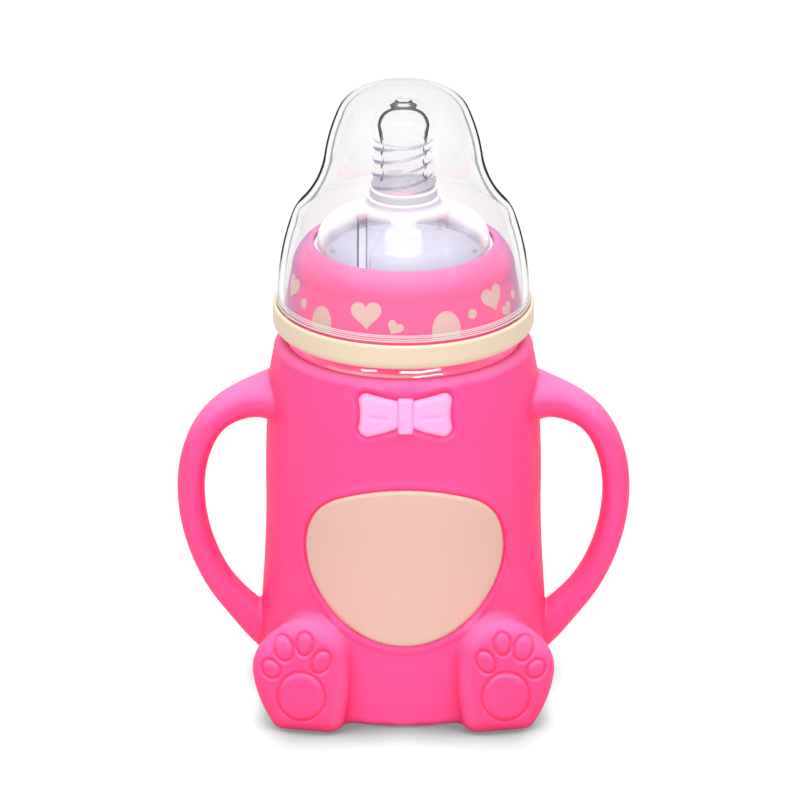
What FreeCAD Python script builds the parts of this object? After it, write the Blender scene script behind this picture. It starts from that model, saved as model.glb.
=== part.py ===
import FreeCAD, Part
import math
import os

import Sketcher

# Wide-neck glass baby bottle in a silicone bear sleeve with two loop handles.
# Millimetres, +Z up, origin at the centre of the sleeve's base on the table
# plane.  The front of the bottle, with the belly patch and the bow, faces -Y,
# and the handles lie in the XZ plane.

V = FreeCAD.Vector
doc = FreeCAD.newDocument("BabyBottle")

# ---------------------------------------------------------------------------
# Driving dimensions, one spreadsheet row each.  A text value is a formula.
# _r: radius from the bottle's axis, or of a round feature.  _z: height.
# _arc_: radius of an arc in a profile.  _in_: inner surface.  _half: half of
# a width.  Lettered stations follow the outline in order.
# ---------------------------------------------------------------------------
DIMS = [
    # clearances between nested pieces
    ("fit_gap", 0.08), ("seat_gap", 0.05),
    # silicone sleeve
    ("sleeve_base_r", 36.2), ("sleeve_arc_base", 1.071),
    ("sleeve_edge_r", 37.25), ("sleeve_edge_z", 1.08),
    ("sleeve_foot_r", 37.2), ("sleeve_foot_z", 3.0),
    ("sleeve_low_r", 35.75), ("sleeve_low_z", 32.0),
    ("sleeve_mid_r", 35.25), ("sleeve_mid_z", 50.0),
    ("sleeve_high_r", 34.85), ("sleeve_high_z", 74.0),
    ("sleeve_neck_r", 33.25), ("sleeve_neck_z", 89.6),
    ("sleeve_crest_r", 31.1), ("sleeve_crest_z", 92.8),
    ("sleeve_lip_z", 91.7), ("sleeve_lip_overlap", 1.0),
    ("sleeve_arc_flare", 620.0), ("sleeve_arc_low", 330.0),
    ("sleeve_arc_high", 62.0), ("sleeve_arc_rim", 3.0), ("sleeve_arc_lip", 2.6),
    ("sleeve_bore_r", 29.08), ("sleeve_floor", 3.0),
    ("sleeve_bore_corner", 4.0), ("sleeve_bore_over", 3.0),
    # belly patch: outline in x and z seen from the front, depth into the sleeve
    ("belly_top_z", 64.42), ("belly_shoulder_x", 16.63), ("belly_shoulder_z", 60.76),
    ("belly_side_x", 25.09), ("belly_side_z", 50.31),
    ("belly_hip_x", 23.63), ("belly_hip_z", 36.82), ("belly_bottom_z", 21.8),
    ("belly_arc_top", 39.65), ("belly_arc_shoulder", 15.22),
    ("belly_arc_side", 20.9), ("belly_arc_bottom", 26.05),
    ("belly_shift_x", 0.3), ("belly_depth", 1.3), ("belly_proud", 0.3),
    # bow
    ("bow_shift_x", 0.4), ("bow_half_w", 11.9), ("bow_top_z", 89.4),
    ("bow_bottom_z", 78.4), ("bow_corner_x", 10.2), ("bow_waist_x", 2.1),
    ("bow_waist_top_z", 88.0), ("bow_waist_bottom_z", 80.9),
    ("bow_wing_top_z", 87.9), ("bow_wing_bottom_z", 79.9), ("bow_arc_end", 16.0),
    ("bow_depth", 1.2), ("bow_proud", 0.9), ("bow_band_rise", 0.1),
    ("knot_half_w", 2.05), ("knot_top_z", 88.9), ("knot_bottom_z", 79.7),
    ("knot_proud", 1.6),
    # reach of a flat inlay outline from the XZ plane through the sleeve's front
    ("inlay_reach", 45.0),
    # foot: outline of the sole in its own plane, x across and z up the sole
    ("foot_x", 26.2), ("foot_y", -42.4), ("foot_z", 0.4), ("foot_tilt", 15.0),
    ("foot_yaw", 12.0), ("foot_thick", 20.0), ("foot_round", 3.4),
    ("sole_a_x", 5.0), ("sole_b_x", 7.85), ("sole_b_z", 1.33),
    ("sole_c_x", 14.3), ("sole_c_z", 14.6), ("sole_d_x", 12.9),
    ("sole_d_z", 21.6), ("sole_e_x", 4.07), ("sole_e_z", 28.69),
    ("sole_f_x", 10.66), ("sole_f_z", 19.82), ("sole_g_x", 10.3),
    ("sole_g_z", 4.4), ("sole_h_x", 5.8),
    ("sole_arc_ab", 3.72), ("sole_arc_bc", 28.96), ("sole_arc_cd", 10.6),
    ("sole_arc_de", 19.0), ("sole_arc_ef", 11.0), ("sole_arc_fg", 47.67),
    ("sole_arc_gh", 4.55),
    # round paw pad; the toes have a table of their own
    ("pad_x", 0.5), ("pad_z", 9.55), ("pad_r", 6.1), ("pad_proud", 0.45),
    ("pad_thick", 3.0),
    # glass bottle
    ("glass_r", "=sleeve_bore_r - fit_gap"), ("glass_base_z", "=sleeve_floor + seat_gap"),
    ("glass_wall", 2.7), ("glass_bottom", 4.0),
    ("glass_corner", 4.2), ("glass_corner_in", 3.0),
    ("glass_shoulder_z", 91.4), ("glass_shoulder_end_z", 96.9),
    ("glass_arc_shoulder", 5.2), ("glass_neck_r", 24.6),
    ("glass_neck_bore_r", 21.6), ("glass_rim_z", 114.0), ("glass_rim_round", 0.6),
    ("glass_shoulder_in_z", 90.2), ("glass_neck_in_z", 95.6),
    ("glass_arc_shoulder_in", 6.2), ("glass_push_up", 0.9),
    ("glass_push_up_r", 19.0), ("glass_push_up_run", 3.0),
    ("thread_crest_r", 25.9), ("thread_root_half", 1.0),
    ("thread_crest_half", 0.5), ("thread_pitch", 4.0),
    ("thread_rise", 5.0), ("thread_start_z", 104.0),
    ("thread_overlap", 0.2), ("thread_offset", 1.68),
    ("thread_in_crest_r", 24.9), ("thread_in_root_r", 26.4),
    # gasket and straw adapter
    ("gasket_z", "=glass_rim_z"), ("gasket_top_z", 114.8), ("gasket_r", 24.0),
    ("gasket_bore_r", 21.4),
    ("disc_top_z", 116.2), ("disc_r", "=gasket_r"), ("disc_web_z", 115.0),
    ("disc_web_r", 20.4), ("disc_window_r", 0.9), ("disc_window_pitch_r", 18.4),
    ("spigot_r", 4.5), ("spigot_root_chamfer", 0.8), ("spigot_top_z", 121.0),
    ("spigot_shoulder_run", 0.35), ("spigot_shoulder_rise", 0.4),
    ("spigot_tip_r", 3.2), ("spigot_tip_z", 125.2), ("spigot_tip_chamfer", 0.5),
    ("spigot_bore_r", 1.35), ("spigot_rib", 0.3), ("spigot_rib_rise", 1.3),
    ("spigot_rib_half", 0.2), ("spigot_rib_pitch", 0.8),
    ("nozzle_r", 1.95), ("nozzle_end_z", 106.0), ("nozzle_taper", 0.35),
    ("nozzle_taper_len", 1.2), ("nozzle_skirt_r", 4.6), ("nozzle_skirt_z", 113.2),
    # straw and its weight
    ("straw_r", 3.0), ("straw_bore_r", 2.0), ("straw_low_z", 25.8), ("straw_top_z", 112.9),
    ("weight_mid_z", 17.4), ("weight_seam", 0.03), ("weight_wall", 1.2),
    ("weight_cap_r", 7.2), ("weight_cap_top_z", 25.6),
    ("weight_cap_drop", 3.4), ("weight_arc_cap", 4.2),
    ("weight_in_run", 1.5), ("weight_in_drop", 2.0), ("weight_arc_in", 2.2),
    ("weight_neck_r", 3.9), ("weight_nub_r", 1.96), ("weight_nub_top_z", 31.0),
    ("weight_nub_bore_r", 1.2), ("weight_nub_taper", 0.35),
    ("weight_nub_taper_len", 0.8), ("weight_skirt", 2.2), ("weight_low_z", 8.6),
    ("cage_bore_r", 2.0), ("cage_corner", 2.6), ("cage_arc_corner", 2.8),
    ("cage_floor", 1.4), ("cage_corner_in", "=cage_corner - cage_floor"),
    ("cage_rib", 1.1), ("cage_slot_half", 1.2), ("cage_slot_rise", 3.2),
    ("cage_slot_drop", 1.4), ("cage_slot_depth", 10.0),
    ("steel_r", 4.6), ("steel_z", 10.4), ("steel_top_z", 21.6),
    ("steel_bore_r", 1.6), ("steel_round", 0.8),
    # nipple
    ("nip_flange_z", "=disc_top_z"), ("nip_flange_top_z", 118.2),
    ("nip_flange_r", "=disc_r"), ("nip_wall_r", 22.0), ("nip_wall_z", 119.5),
    ("nip_mound_r", 18.72), ("nip_mound_z", 124.88), ("nip_arc_mound", 6.05),
    ("nip_root_r", 10.63), ("nip_root_z", 129.09), ("nip_arc_root", 2.49),
    ("nip_step_r", 9.3), ("nip_step_z", 131.3), ("nip_step_two_r", 8.7),
    ("nip_step_rise", 0.3), ("nip_step_taper", 0.1),
    ("nip_stem_z", 134.0), ("nip_stem_step_half", 0.2), ("nip_stem_low_r", 8.1),
    ("nip_stem_r", 7.4), ("nip_stem_straight", 4.0), ("nip_stem_top_z", 146.2),
    ("nip_bulb_r", 8.1), ("nip_bulb_z", 150.2),
    ("nip_arc_bulb_low", 17.4), ("nip_arc_bulb", 6.6),
    ("nip_tip_r", 2.3), ("nip_top_z", 156.6), ("nip_dimple_r", 0.5),
    ("nip_dimple_z", 155.6),
    ("nip_in_wall_r", 20.0), ("nip_in_wall_z", 119.3),
    ("nip_in_mound_r", 17.2), ("nip_in_mound_z", 123.2),
    ("nip_arc_in_mound", 5.0), ("nip_in_root_r", 8.4),
    ("nip_in_root_z", 127.6), ("nip_in_step_r", 6.9), ("nip_in_step_z", 131.0),
    ("nip_in_stem_r", 5.5), ("nip_in_stem_z", 136.0),
    ("nip_in_stem_top_z", 146.4), ("nip_in_bulb_r", 6.2),
    ("nip_in_bulb_z", 150.3), ("nip_arc_in_bulb", 4.75),
    ("nip_in_tip_r", 1.5), ("nip_in_top_z", 154.8),
    ("nip_rib_lead", 10.5), ("nip_rib_rise", 10.5), ("nip_rib_z", 134.9),
    ("nip_rib_half", 0.75), ("nip_rib_crest_half", 0.3), ("nip_rib_out", 0.55),
    ("nip_rib_overlap", 0.9),
    # screw collar
    ("collar_low_z", 97.6), ("collar_skirt_r", 30.6), ("collar_skirt_z", 99.95),
    ("collar_wall_r", 30.1), ("collar_wall_z", 104.0), ("collar_wall_taper", 0.12),
    ("collar_mid_r", 28.5), ("collar_mid_z", 112.3),
    ("collar_top_r", 24.3), ("collar_top_z", 119.55),
    ("collar_mouth_r", 23.0), ("collar_mouth_z", 119.9), ("collar_mouth_drop", 0.5),
    ("collar_arc_wall", 60.0), ("collar_arc_top", 8.4), ("collar_arc_lip", 1.2),
    ("collar_bore_r", 26.2), ("collar_bore_top_z", 111.6),
    ("collar_neck_r", 24.75), ("collar_neck_z", 113.2),
    ("collar_seat_r", 24.15), ("collar_seat_z", 114.9), ("collar_seat_drop", 0.6),
    ("collar_lip_z", 118.25),
    # cream ring
    ("ring_r", 33.4), ("ring_low_z", 96.0), ("ring_low_r", 31.3),
    ("ring_arc_low", 2.3), ("ring_side_z", 98.3), ("ring_top_z", 102.8),
    ("ring_top_r", 33.05), ("ring_top_side_z", 102.3), ("ring_arc_top", 0.6),
    ("ring_seat_r", 32.58), ("ring_seat_z", 100.4), ("ring_hook_r", 30.2),
    ("ring_hook_z", "=collar_skirt_z + seat_gap"),
    ("ring_bore_r", "=collar_skirt_r + seat_gap"), ("ring_bore_low_z", 97.2),
    # dome
    ("dome_skin", 1.5), ("dome_rim_z", "=ring_seat_z + seat_gap"),
    ("dome_rim_r", "=ring_seat_r - fit_gap"), ("dome_rim_top_z", 103.7),
    ("dome_rim_extra", 0.3), ("dome_wall_z", 104.8), ("dome_wall_r", 32.2),
    ("dome_a_r", 28.68), ("dome_a_z", 125.53), ("dome_b_r", 27.01),
    ("dome_b_z", 128.30), ("dome_c_r", 20.20), ("dome_c_z", 142.51),
    ("dome_d_r", 16.80), ("dome_d_z", 154.35), ("dome_e_r", 10.37),
    ("dome_e_z", 159.50), ("dome_top_z", 160.5),
    ("dome_arc_wall", 63.77), ("dome_arc_a", 7.85), ("dome_arc_b", 26.41),
    ("dome_arc_c", 45.6), ("dome_arc_d", 8.9),
    ("dome_in_wall_r", "=dome_wall_r - dome_skin"),
    ("dome_in_a_r", 27.26), ("dome_in_a_z", 125.04),
    ("dome_in_b_r", 25.91), ("dome_in_b_z", 127.28), ("dome_in_c_r", 18.72),
    ("dome_in_c_z", 142.30), ("dome_in_d_r", 15.43), ("dome_in_d_z", 153.75),
    ("dome_in_e_r", 10.09), ("dome_in_e_z", 158.02),
    ("dome_in_top_z", "=dome_top_z - dome_skin"),
]

# Handle stations from top to bottom: centre line x and z, half thickness in
# the XZ plane, half width along Y.
HANDLE = [
    (31.0, 77.2, 6.9, 11.5), (36.2, 76.9, 5.3, 8.4), (41.6, 75.3, 4.6, 6.6),
    (47.6, 71.2, 4.1, 5.9), (52.3, 64.0, 3.75, 5.6), (54.5, 54.0, 3.6, 5.5),
    (53.9, 43.5, 3.55, 5.5), (51.0, 33.3, 3.6, 5.5), (46.5, 25.0, 3.7, 5.6),
    (40.9, 18.5, 4.1, 6.0), (36.0, 13.9, 4.9, 6.5), (31.8, 10.9, 5.6, 7.0),
]

# Oval toe pads: centre x and z on the sole, half length, half width, and lean
# of the long axis from upright in degrees, positive towards the sole's -x.
TOES = [
    (-4.2, 18.8, 3.05, 2.15, 27.0), (0.35, 23.1, 2.85, 2.1, 0.0),
    (5.85, 21.6, 3.3, 2.5, -25.0), (8.8, 16.1, 2.7, 2.15, -55.0),
]

SPIGOT_RIBS = 4
AIR_WINDOWS = 6
CAGE_SLOTS = 6
NIPPLE_SPIRALS = ("One", "Two", "Three")
CUTTER_SIDE, CUTTER_DEPTH = 200, 20  # block that trims the feet at the table

for prefix, columns, table in (
        ("handle", ("x", "z", "thick", "width"), HANDLE),
        ("toe", ("x", "z", "length", "width", "lean"), TOES)):
    for i, station in enumerate(table):
        DIMS += [("%s_%s_%02d" % (prefix, column, i), value)
                 for column, value in zip(columns, station)]

sheet = doc.addObject("Spreadsheet::Sheet", "Dims")
for row, (alias, value) in enumerate(DIMS, 1):
    sheet.set("A%d" % row, alias)
    sheet.set("B%d" % row, "%s" % value)
    sheet.setAlias("B%d" % row, alias)
doc.recompute()


# ---------------------------------------------------------------------------
# Dimensions that carry their own expression
# ---------------------------------------------------------------------------
class Expr:
    """A dimension: its number now, and the expression that drives it.
    Wherever one is expected, an alias or a plain number serves as well."""

    def __init__(self, value, text):
        self.value = float(value)
        self.text = text

    @staticmethod
    def of(item):
        if isinstance(item, Expr):
            return item
        if isinstance(item, str):
            return dim(item)
        return Expr(item, "%s" % item)

    def __add__(self, other):
        other = Expr.of(other)
        return Expr(self.value + other.value, "(%s + %s)" % (self.text, other.text))

    def __sub__(self, other):
        other = Expr.of(other)
        return Expr(self.value - other.value, "(%s - %s)" % (self.text, other.text))

    def __mul__(self, other):
        other = Expr.of(other)
        return Expr(self.value * other.value, "(%s * %s)" % (self.text, other.text))

    def __truediv__(self, other):
        other = Expr.of(other)
        return Expr(self.value / other.value, "(%s / %s)" % (self.text, other.text))

    def __neg__(self):
        return Expr(-self.value, "(-1 * %s)" % self.text)


def dim(alias):
    return Expr(sheet.get(alias), "Dims.%s" % alias)


def bind(obj, name, item):
    item = Expr.of(item)
    setattr(obj, name, item.value)
    obj.setExpression(name, item.text)


def place(obj, base, rotation):
    """Place an object; coordinates given as aliases stay bound to the sheet."""
    obj.Placement = FreeCAD.Placement(V(*[Expr.of(item).value for item in base]), rotation)
    for axis, item in zip("xyz", base):
        if isinstance(item, str):
            obj.setExpression("Placement.Base.%s" % axis, dim(item).text)


def cap_radius(half_chord, rise):
    """Radius of the arc that rises this much over a chord."""
    return (half_chord * half_chord + rise * rise) / (rise * 2)


# ---------------------------------------------------------------------------
# Sketches
# ---------------------------------------------------------------------------
LEFT, RIGHT = 1, -1  # side of the path on which an arc's centre lies


def origin_feature(body, role):
    return [f for f in body.Origin.OriginFeatures if f.Role == role][0]


def sketch_on(body, name, role):
    sketch = body.newObject("Sketcher::SketchObject", name)
    sketch.AttachmentSupport = [(origin_feature(body, role), "")]
    sketch.MapMode = "FlatFace"
    return sketch


def add_segment(sketch, start, end, arc):
    """Add a line, or an arc = (radius, side).  Returns the geometry's index
    and the numbers of its first and last points along the path."""
    start_x, start_y, end_x, end_y = [item.value for item in start + end]
    if not arc:
        line = Part.LineSegment(V(start_x, start_y, 0), V(end_x, end_y, 0))
        return sketch.addGeometry(line, False), 1, 2
    radius, side = Expr.of(arc[0]).value, arc[1]
    run_x, run_y = end_x - start_x, end_y - start_y
    chord = math.hypot(run_x, run_y)
    offset = side * math.sqrt(max(radius * radius - chord * chord / 4.0, 1e-9))
    centre_x = (start_x + end_x) / 2.0 - offset * run_y / chord
    centre_y = (start_y + end_y) / 2.0 + offset * run_x / chord
    start_angle = math.atan2(start_y - centre_y, start_x - centre_x)
    end_angle = math.atan2(end_y - centre_y, end_x - centre_x)
    circle = Part.Circle(V(centre_x, centre_y, 0), V(0, 0, 1), radius)
    # Arcs run anticlockwise, so one with its centre on the right is reversed.
    if side == LEFT:
        return sketch.addGeometry(Part.ArcOfCircle(circle, start_angle, end_angle), False), 1, 2
    return sketch.addGeometry(Part.ArcOfCircle(circle, end_angle, start_angle), False), 2, 1


def constrain(sketch, item, kind, *where):
    """Add a dimensional constraint bound to the sheet."""
    item = Expr.of(item)
    index = sketch.addConstraint(Sketcher.Constraint(kind, *where, item.value))
    sketch.setExpression("Constraints[%d]" % index, item.text)


def outline(sketch, nodes):
    """Close a profile.  nodes = [(x, y) or (x, y, radius, side)]: the segment
    that leaves a node is a line, or an arc with its centre on that side."""
    points = [(Expr.of(node[0]), Expr.of(node[1])) for node in nodes]
    following = points[1:] + points[:1]
    segments = [add_segment(sketch, start, end, node[2:])
                for start, end, node in zip(points, following, nodes)]
    sketch.addConstraint([
        Sketcher.Constraint("Coincident", here[0], here[2], after[0], after[1])
        for here, after in zip(segments, segments[1:] + segments[:1])])
    for (geometry, first, _), point, node in zip(segments, points, nodes):
        for kind, axis, item in (("DistanceX", -2, point[0]), ("DistanceY", -1, point[1])):
            if abs(item.value) < 1e-9:
                sketch.addConstraint(Sketcher.Constraint("PointOnObject", geometry, first, axis))
            else:
                constrain(sketch, item, kind, -1, 1, geometry, first)
        if len(node) > 2:
            constrain(sketch, node[2], "Radius", geometry)


def oval(sketch, centre_x, centre_z, half_length, half_width, lean):
    """Closed oval of four arcs, its long axis leaning from the vertical."""
    cos_lean, sin_lean = math.cos(math.radians(lean)), math.sin(math.radians(lean))
    cos_45 = 0.7071
    across, along = half_width * cos_45, half_length * cos_45
    end_radius = cap_radius(across, half_length - along)
    side_radius = cap_radius(along, half_width - across)
    corners = [(across, along, end_radius), (-across, along, side_radius),
               (-across, -along, end_radius), (across, -along, side_radius)]
    outline(sketch, [
        (centre_x + x * cos_lean - z * sin_lean,
         centre_z + x * sin_lean + z * cos_lean, radius, LEFT)
        for x, z, radius in corners])


def ridge(root_r, crest_r, z, root_half, crest_half):
    """Profile of an outward helical ridge centred at height z."""
    return [
        (root_r, z - root_half), (crest_r, z - crest_half),
        (crest_r, z + crest_half), (root_r, z + root_half),
    ]


# ---------------------------------------------------------------------------
# Features and booleans
# ---------------------------------------------------------------------------
def new_body(name):
    return doc.addObject("PartDesign::Body", name)


def add_feature(body, kind, name, profile):
    feature = body.newObject("PartDesign::" + kind, name)
    feature.Profile = profile
    body.Tip = feature
    return feature


def profile_xz(body, name, nodes):
    sketch = sketch_on(body, name, "XZ_Plane")
    outline(sketch, nodes)
    return sketch


def revolve(body, name, nodes):
    sketch = profile_xz(body, name + "_profile", nodes)
    turned = add_feature(body, "Revolution", name, sketch)
    turned.ReferenceAxis = (sketch, ["V_Axis"])
    turned.Angle = 360


def turned_body(body_name, name, nodes):
    body = new_body(body_name)
    revolve(body, name, nodes)
    return body


def helix(body, name, nodes, pitch, rise):
    sketch = profile_xz(body, name + "_profile", nodes)
    coil = add_feature(body, "AdditiveHelix", name, sketch)
    coil.ReferenceAxis = (origin_feature(body, "Z_Axis"), [""])
    coil.Mode = 0  # pitch and height
    bind(coil, "Pitch", pitch)
    bind(coil, "Height", rise)


def polar_pattern(body, name, feature, count):
    doc.recompute()
    pattern = body.newObject("PartDesign::PolarPattern", name)
    pattern.Originals = [feature]
    pattern.Axis = (origin_feature(body, "Z_Axis"), [""])
    pattern.Angle = 360
    pattern.Occurrences = count
    body.Tip = pattern


def boolean(kind, name, base, tool):
    """kind is Cut or Common."""
    result = doc.addObject("Part::" + kind, name)
    result.Base, result.Tool = base, tool
    return result


def fuse(name, shapes):
    result = doc.addObject("Part::MultiFuse", name)
    result.Shapes = shapes
    return result


# ---------------------------------------------------------------------------
# Silicone sleeve: a solid of revolution, two loop handles and two feet in one
# moulding, bored out for the bottle.
# ---------------------------------------------------------------------------
def sleeve_solid():
    return turned_body("sleeve_solid", "SleeveOuter", [
        (0, 0), ("sleeve_base_r", 0, "sleeve_arc_base", LEFT),
        ("sleeve_edge_r", "sleeve_edge_z", "sleeve_arc_flare", LEFT),
        ("sleeve_low_r", "sleeve_low_z", "sleeve_arc_low", RIGHT),
        ("sleeve_mid_r", "sleeve_mid_z", "sleeve_arc_low", LEFT),
        ("sleeve_high_r", "sleeve_high_z", "sleeve_arc_high", LEFT),
        ("sleeve_neck_r", "sleeve_neck_z", "sleeve_arc_rim", LEFT),
        ("sleeve_crest_r", "sleeve_crest_z", "sleeve_arc_lip", LEFT),
        (dim("sleeve_bore_r") - "sleeve_lip_overlap", "sleeve_lip_z"),
        (0, "sleeve_lip_z"),
    ])


def sleeve_bore():
    top = dim("sleeve_crest_z") + "sleeve_bore_over"
    return turned_body("sleeve_bore", "SleeveBore", [
        (0, "sleeve_floor"),
        (dim("sleeve_bore_r") - "sleeve_bore_corner", "sleeve_floor",
         "sleeve_bore_corner", LEFT),
        ("sleeve_bore_r", dim("sleeve_floor") + "sleeve_bore_corner"),
        ("sleeve_bore_r", top), (0, top),
    ])


def right_handle():
    """A loft through ellipses set square to the centre line."""
    sections = []
    for i in range(len(HANDLE)):
        before, after = HANDLE[max(i - 1, 0)], HANDLE[min(i + 1, len(HANDLE) - 1)]
        heading = math.atan2(after[1] - before[1], after[0] - before[0])
        section = doc.addObject("Part::Ellipse", "HandleSection%02d" % i)
        bind(section, "MajorRadius", "handle_width_%02d" % i)
        bind(section, "MinorRadius", "handle_thick_%02d" % i)
        # local x runs along Y, local z along the centre line
        normal = V(math.cos(heading), 0, math.sin(heading))
        across = V(0, 1, 0)
        turn = FreeCAD.Rotation(across, normal.cross(across), normal, "ZXY")
        place(section, ("handle_x_%02d" % i, 0, "handle_z_%02d" % i), turn)
        sections.append(section)
    handle = doc.addObject("Part::Loft", "HandleRight")
    handle.Sections = sections
    handle.Solid = True
    handle.Ruled = False
    return handle


def right_foot():
    """The sole's outline padded back into the sleeve, with a rounded front
    edge and raised paw pads, trimmed flat at the table."""
    body = new_body("foot_right")
    sole = profile_xz(body, "Sole", [
        ("sole_a_x", 0, "sole_arc_ab", LEFT),
        ("sole_b_x", "sole_b_z", "sole_arc_bc", LEFT),
        ("sole_c_x", "sole_c_z", "sole_arc_cd", LEFT),
        ("sole_d_x", "sole_d_z", "sole_arc_de", LEFT),
        ("sole_e_x", "sole_e_z", "sole_arc_ef", LEFT),
        (-dim("sole_f_x"), "sole_f_z", "sole_arc_fg", LEFT),
        (-dim("sole_g_x"), "sole_g_z", "sole_arc_gh", LEFT),
        (-dim("sole_h_x"), 0),
    ])
    foot_pad = add_feature(body, "Pad", "FootPad", sole)
    bind(foot_pad, "Length", "foot_thick")
    foot_pad.Reversed = True  # towards +Y
    doc.recompute()

    front_faces = [number for number, face in enumerate(foot_pad.Shape.Faces, 1)
                   if abs(face.CenterOfMass.y) < 1e-6 and face.Area > 100]
    rounding = body.newObject("PartDesign::Fillet", "FootRound")
    rounding.Base = (foot_pad, ["Face%d" % front_faces[0]])
    bind(rounding, "Radius", "foot_round")
    body.Tip = rounding

    sketch = sketch_on(body, "PawPads", "XZ_Plane")
    proud = dim("pad_proud")
    sketch.AttachmentOffset = FreeCAD.Placement(V(0, 0, proud.value), FreeCAD.Rotation())
    sketch.setExpression("AttachmentOffset.Base.z", proud.text)
    oval(sketch, dim("pad_x"), dim("pad_z"), dim("pad_r"), dim("pad_r"), 0)
    for i in range(len(TOES)):
        x, z, length, width, lean = [
            dim("toe_%s_%02d" % (column, i)) for column in ("x", "z", "length", "width", "lean")]
        oval(sketch, x, z, length, width, lean.value)
    pads = add_feature(body, "Pad", "PawPadsPad", sketch)
    bind(pads, "Length", "pad_thick")
    pads.Reversed = True

    # The sole leans back and turns outward.
    place(body, ("foot_x", "foot_y", "foot_z"),
          FreeCAD.Rotation(V(0, 0, 1), dim("foot_yaw").value)
          * FreeCAD.Rotation(V(1, 0, 0), -dim("foot_tilt").value))

    below_table = doc.addObject("Part::Box", "BelowTable")
    below_table.Length = below_table.Width = CUTTER_SIDE
    below_table.Height = CUTTER_DEPTH
    corner = V(-CUTTER_SIDE / 2, -CUTTER_SIDE / 2, -CUTTER_DEPTH)
    below_table.Placement = FreeCAD.Placement(corner, FreeCAD.Rotation())
    return boolean("Cut", "FootFlat", body, below_table)


def bored_sleeve():
    solid, bore = sleeve_solid(), sleeve_bore()
    right_side = fuse("RightSide", [right_handle(), right_foot()])
    left_side = doc.addObject("Part::Mirroring", "LeftSide")
    left_side.Source = right_side
    left_side.Normal = V(1, 0, 0)
    left_side.Base = V(0, 0, 0)
    fused = fuse("SleeveFused", [solid, right_side, left_side])
    return boolean("Cut", "SleeveBored", fused, bore)


# ---------------------------------------------------------------------------
# Inlays of the front: a flat outline pushed through a curved skin that follows
# the sleeve's outer surface.
# ---------------------------------------------------------------------------
def skin(name, depth, proud, top):
    """Band from a depth under the sleeve's surface to a height above it."""
    foot, low, mid, high, neck = [
        dim("sleeve_%s_r" % level) for level in ("foot", "low", "mid", "high", "neck")]
    return turned_body(name, name + "Band", [
        (foot - depth, "sleeve_foot_z", "sleeve_arc_flare", LEFT),
        (low - depth, "sleeve_low_z", "sleeve_arc_low", RIGHT),
        (mid - depth, "sleeve_mid_z", "sleeve_arc_low", LEFT),
        (high - depth, "sleeve_high_z", "sleeve_arc_high", LEFT),
        (neck - depth, top),
        (neck + proud, top, "sleeve_arc_high", RIGHT),
        (high + proud, "sleeve_high_z", "sleeve_arc_low", RIGHT),
        (mid + proud, "sleeve_mid_z", "sleeve_arc_low", LEFT),
        (low + proud, "sleeve_low_z", "sleeve_arc_flare", RIGHT),
        (foot + proud, "sleeve_foot_z"),
    ])


def inlay(name, prefix, nodes, depth, proud, top):
    title = prefix.capitalize()
    body = new_body(prefix + "_outline")
    sketch = profile_xz(body, title + "Outline", nodes)
    pad = add_feature(body, "Pad", title + "Pad", sketch)
    bind(pad, "Length", "inlay_reach")
    return boolean("Common", name, body, skin(prefix + "_skin", depth, proud, top))


def belly_patch():
    centre = dim("belly_shift_x")
    return inlay("belly_patch", "belly", [
        (centre, "belly_top_z", "belly_arc_top", RIGHT),
        (centre + "belly_shoulder_x", "belly_shoulder_z", "belly_arc_shoulder", RIGHT),
        (centre + "belly_side_x", "belly_side_z", "belly_arc_side", RIGHT),
        (centre + "belly_hip_x", "belly_hip_z", "belly_arc_bottom", RIGHT),
        (centre, "belly_bottom_z", "belly_arc_bottom", RIGHT),
        (centre - "belly_hip_x", "belly_hip_z", "belly_arc_side", RIGHT),
        (centre - "belly_side_x", "belly_side_z", "belly_arc_shoulder", RIGHT),
        (centre - "belly_shoulder_x", "belly_shoulder_z", "belly_arc_top", RIGHT),
    ], "belly_depth", "belly_proud", "sleeve_neck_z")


def bow_tie():
    """Two wings with hollow ends, and a prouder knot over the waist."""
    centre = dim("bow_shift_x")
    band_top = dim("sleeve_neck_z") + "bow_band_rise"
    wings = inlay("BowWings", "bow", [
        (centre + "bow_waist_x", "bow_waist_bottom_z"),
        (centre + "bow_corner_x", "bow_bottom_z"),
        (centre + "bow_half_w", "bow_wing_bottom_z", "bow_arc_end", RIGHT),
        (centre + "bow_half_w", "bow_wing_top_z"),
        (centre + "bow_corner_x", "bow_top_z"),
        (centre + "bow_waist_x", "bow_waist_top_z"),
        (centre - "bow_waist_x", "bow_waist_top_z"),
        (centre - "bow_corner_x", "bow_top_z"),
        (centre - "bow_half_w", "bow_wing_top_z", "bow_arc_end", RIGHT),
        (centre - "bow_half_w", "bow_wing_bottom_z"),
        (centre - "bow_corner_x", "bow_bottom_z"),
        (centre - "bow_waist_x", "bow_waist_bottom_z"),
    ], "bow_depth", "bow_proud", band_top)
    left, right = centre - "knot_half_w", centre + "knot_half_w"
    knot = inlay("BowKnot", "knot", [
        (left, "knot_bottom_z"), (right, "knot_bottom_z"),
        (right, "knot_top_z"), (left, "knot_top_z"),
    ], "bow_depth", "knot_proud", band_top)
    return fuse("bow_tie", [wings, knot])


def sleeve_pieces():
    """The sleeve, recessed for its two inlays, and the inlays."""
    bored, belly, bow = bored_sleeve(), belly_patch(), bow_tie()
    recessed = boolean("Cut", "SleeveBellyRecess", bored, belly)
    return [boolean("Cut", "silicone_sleeve", recessed, bow), belly, bow]


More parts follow.
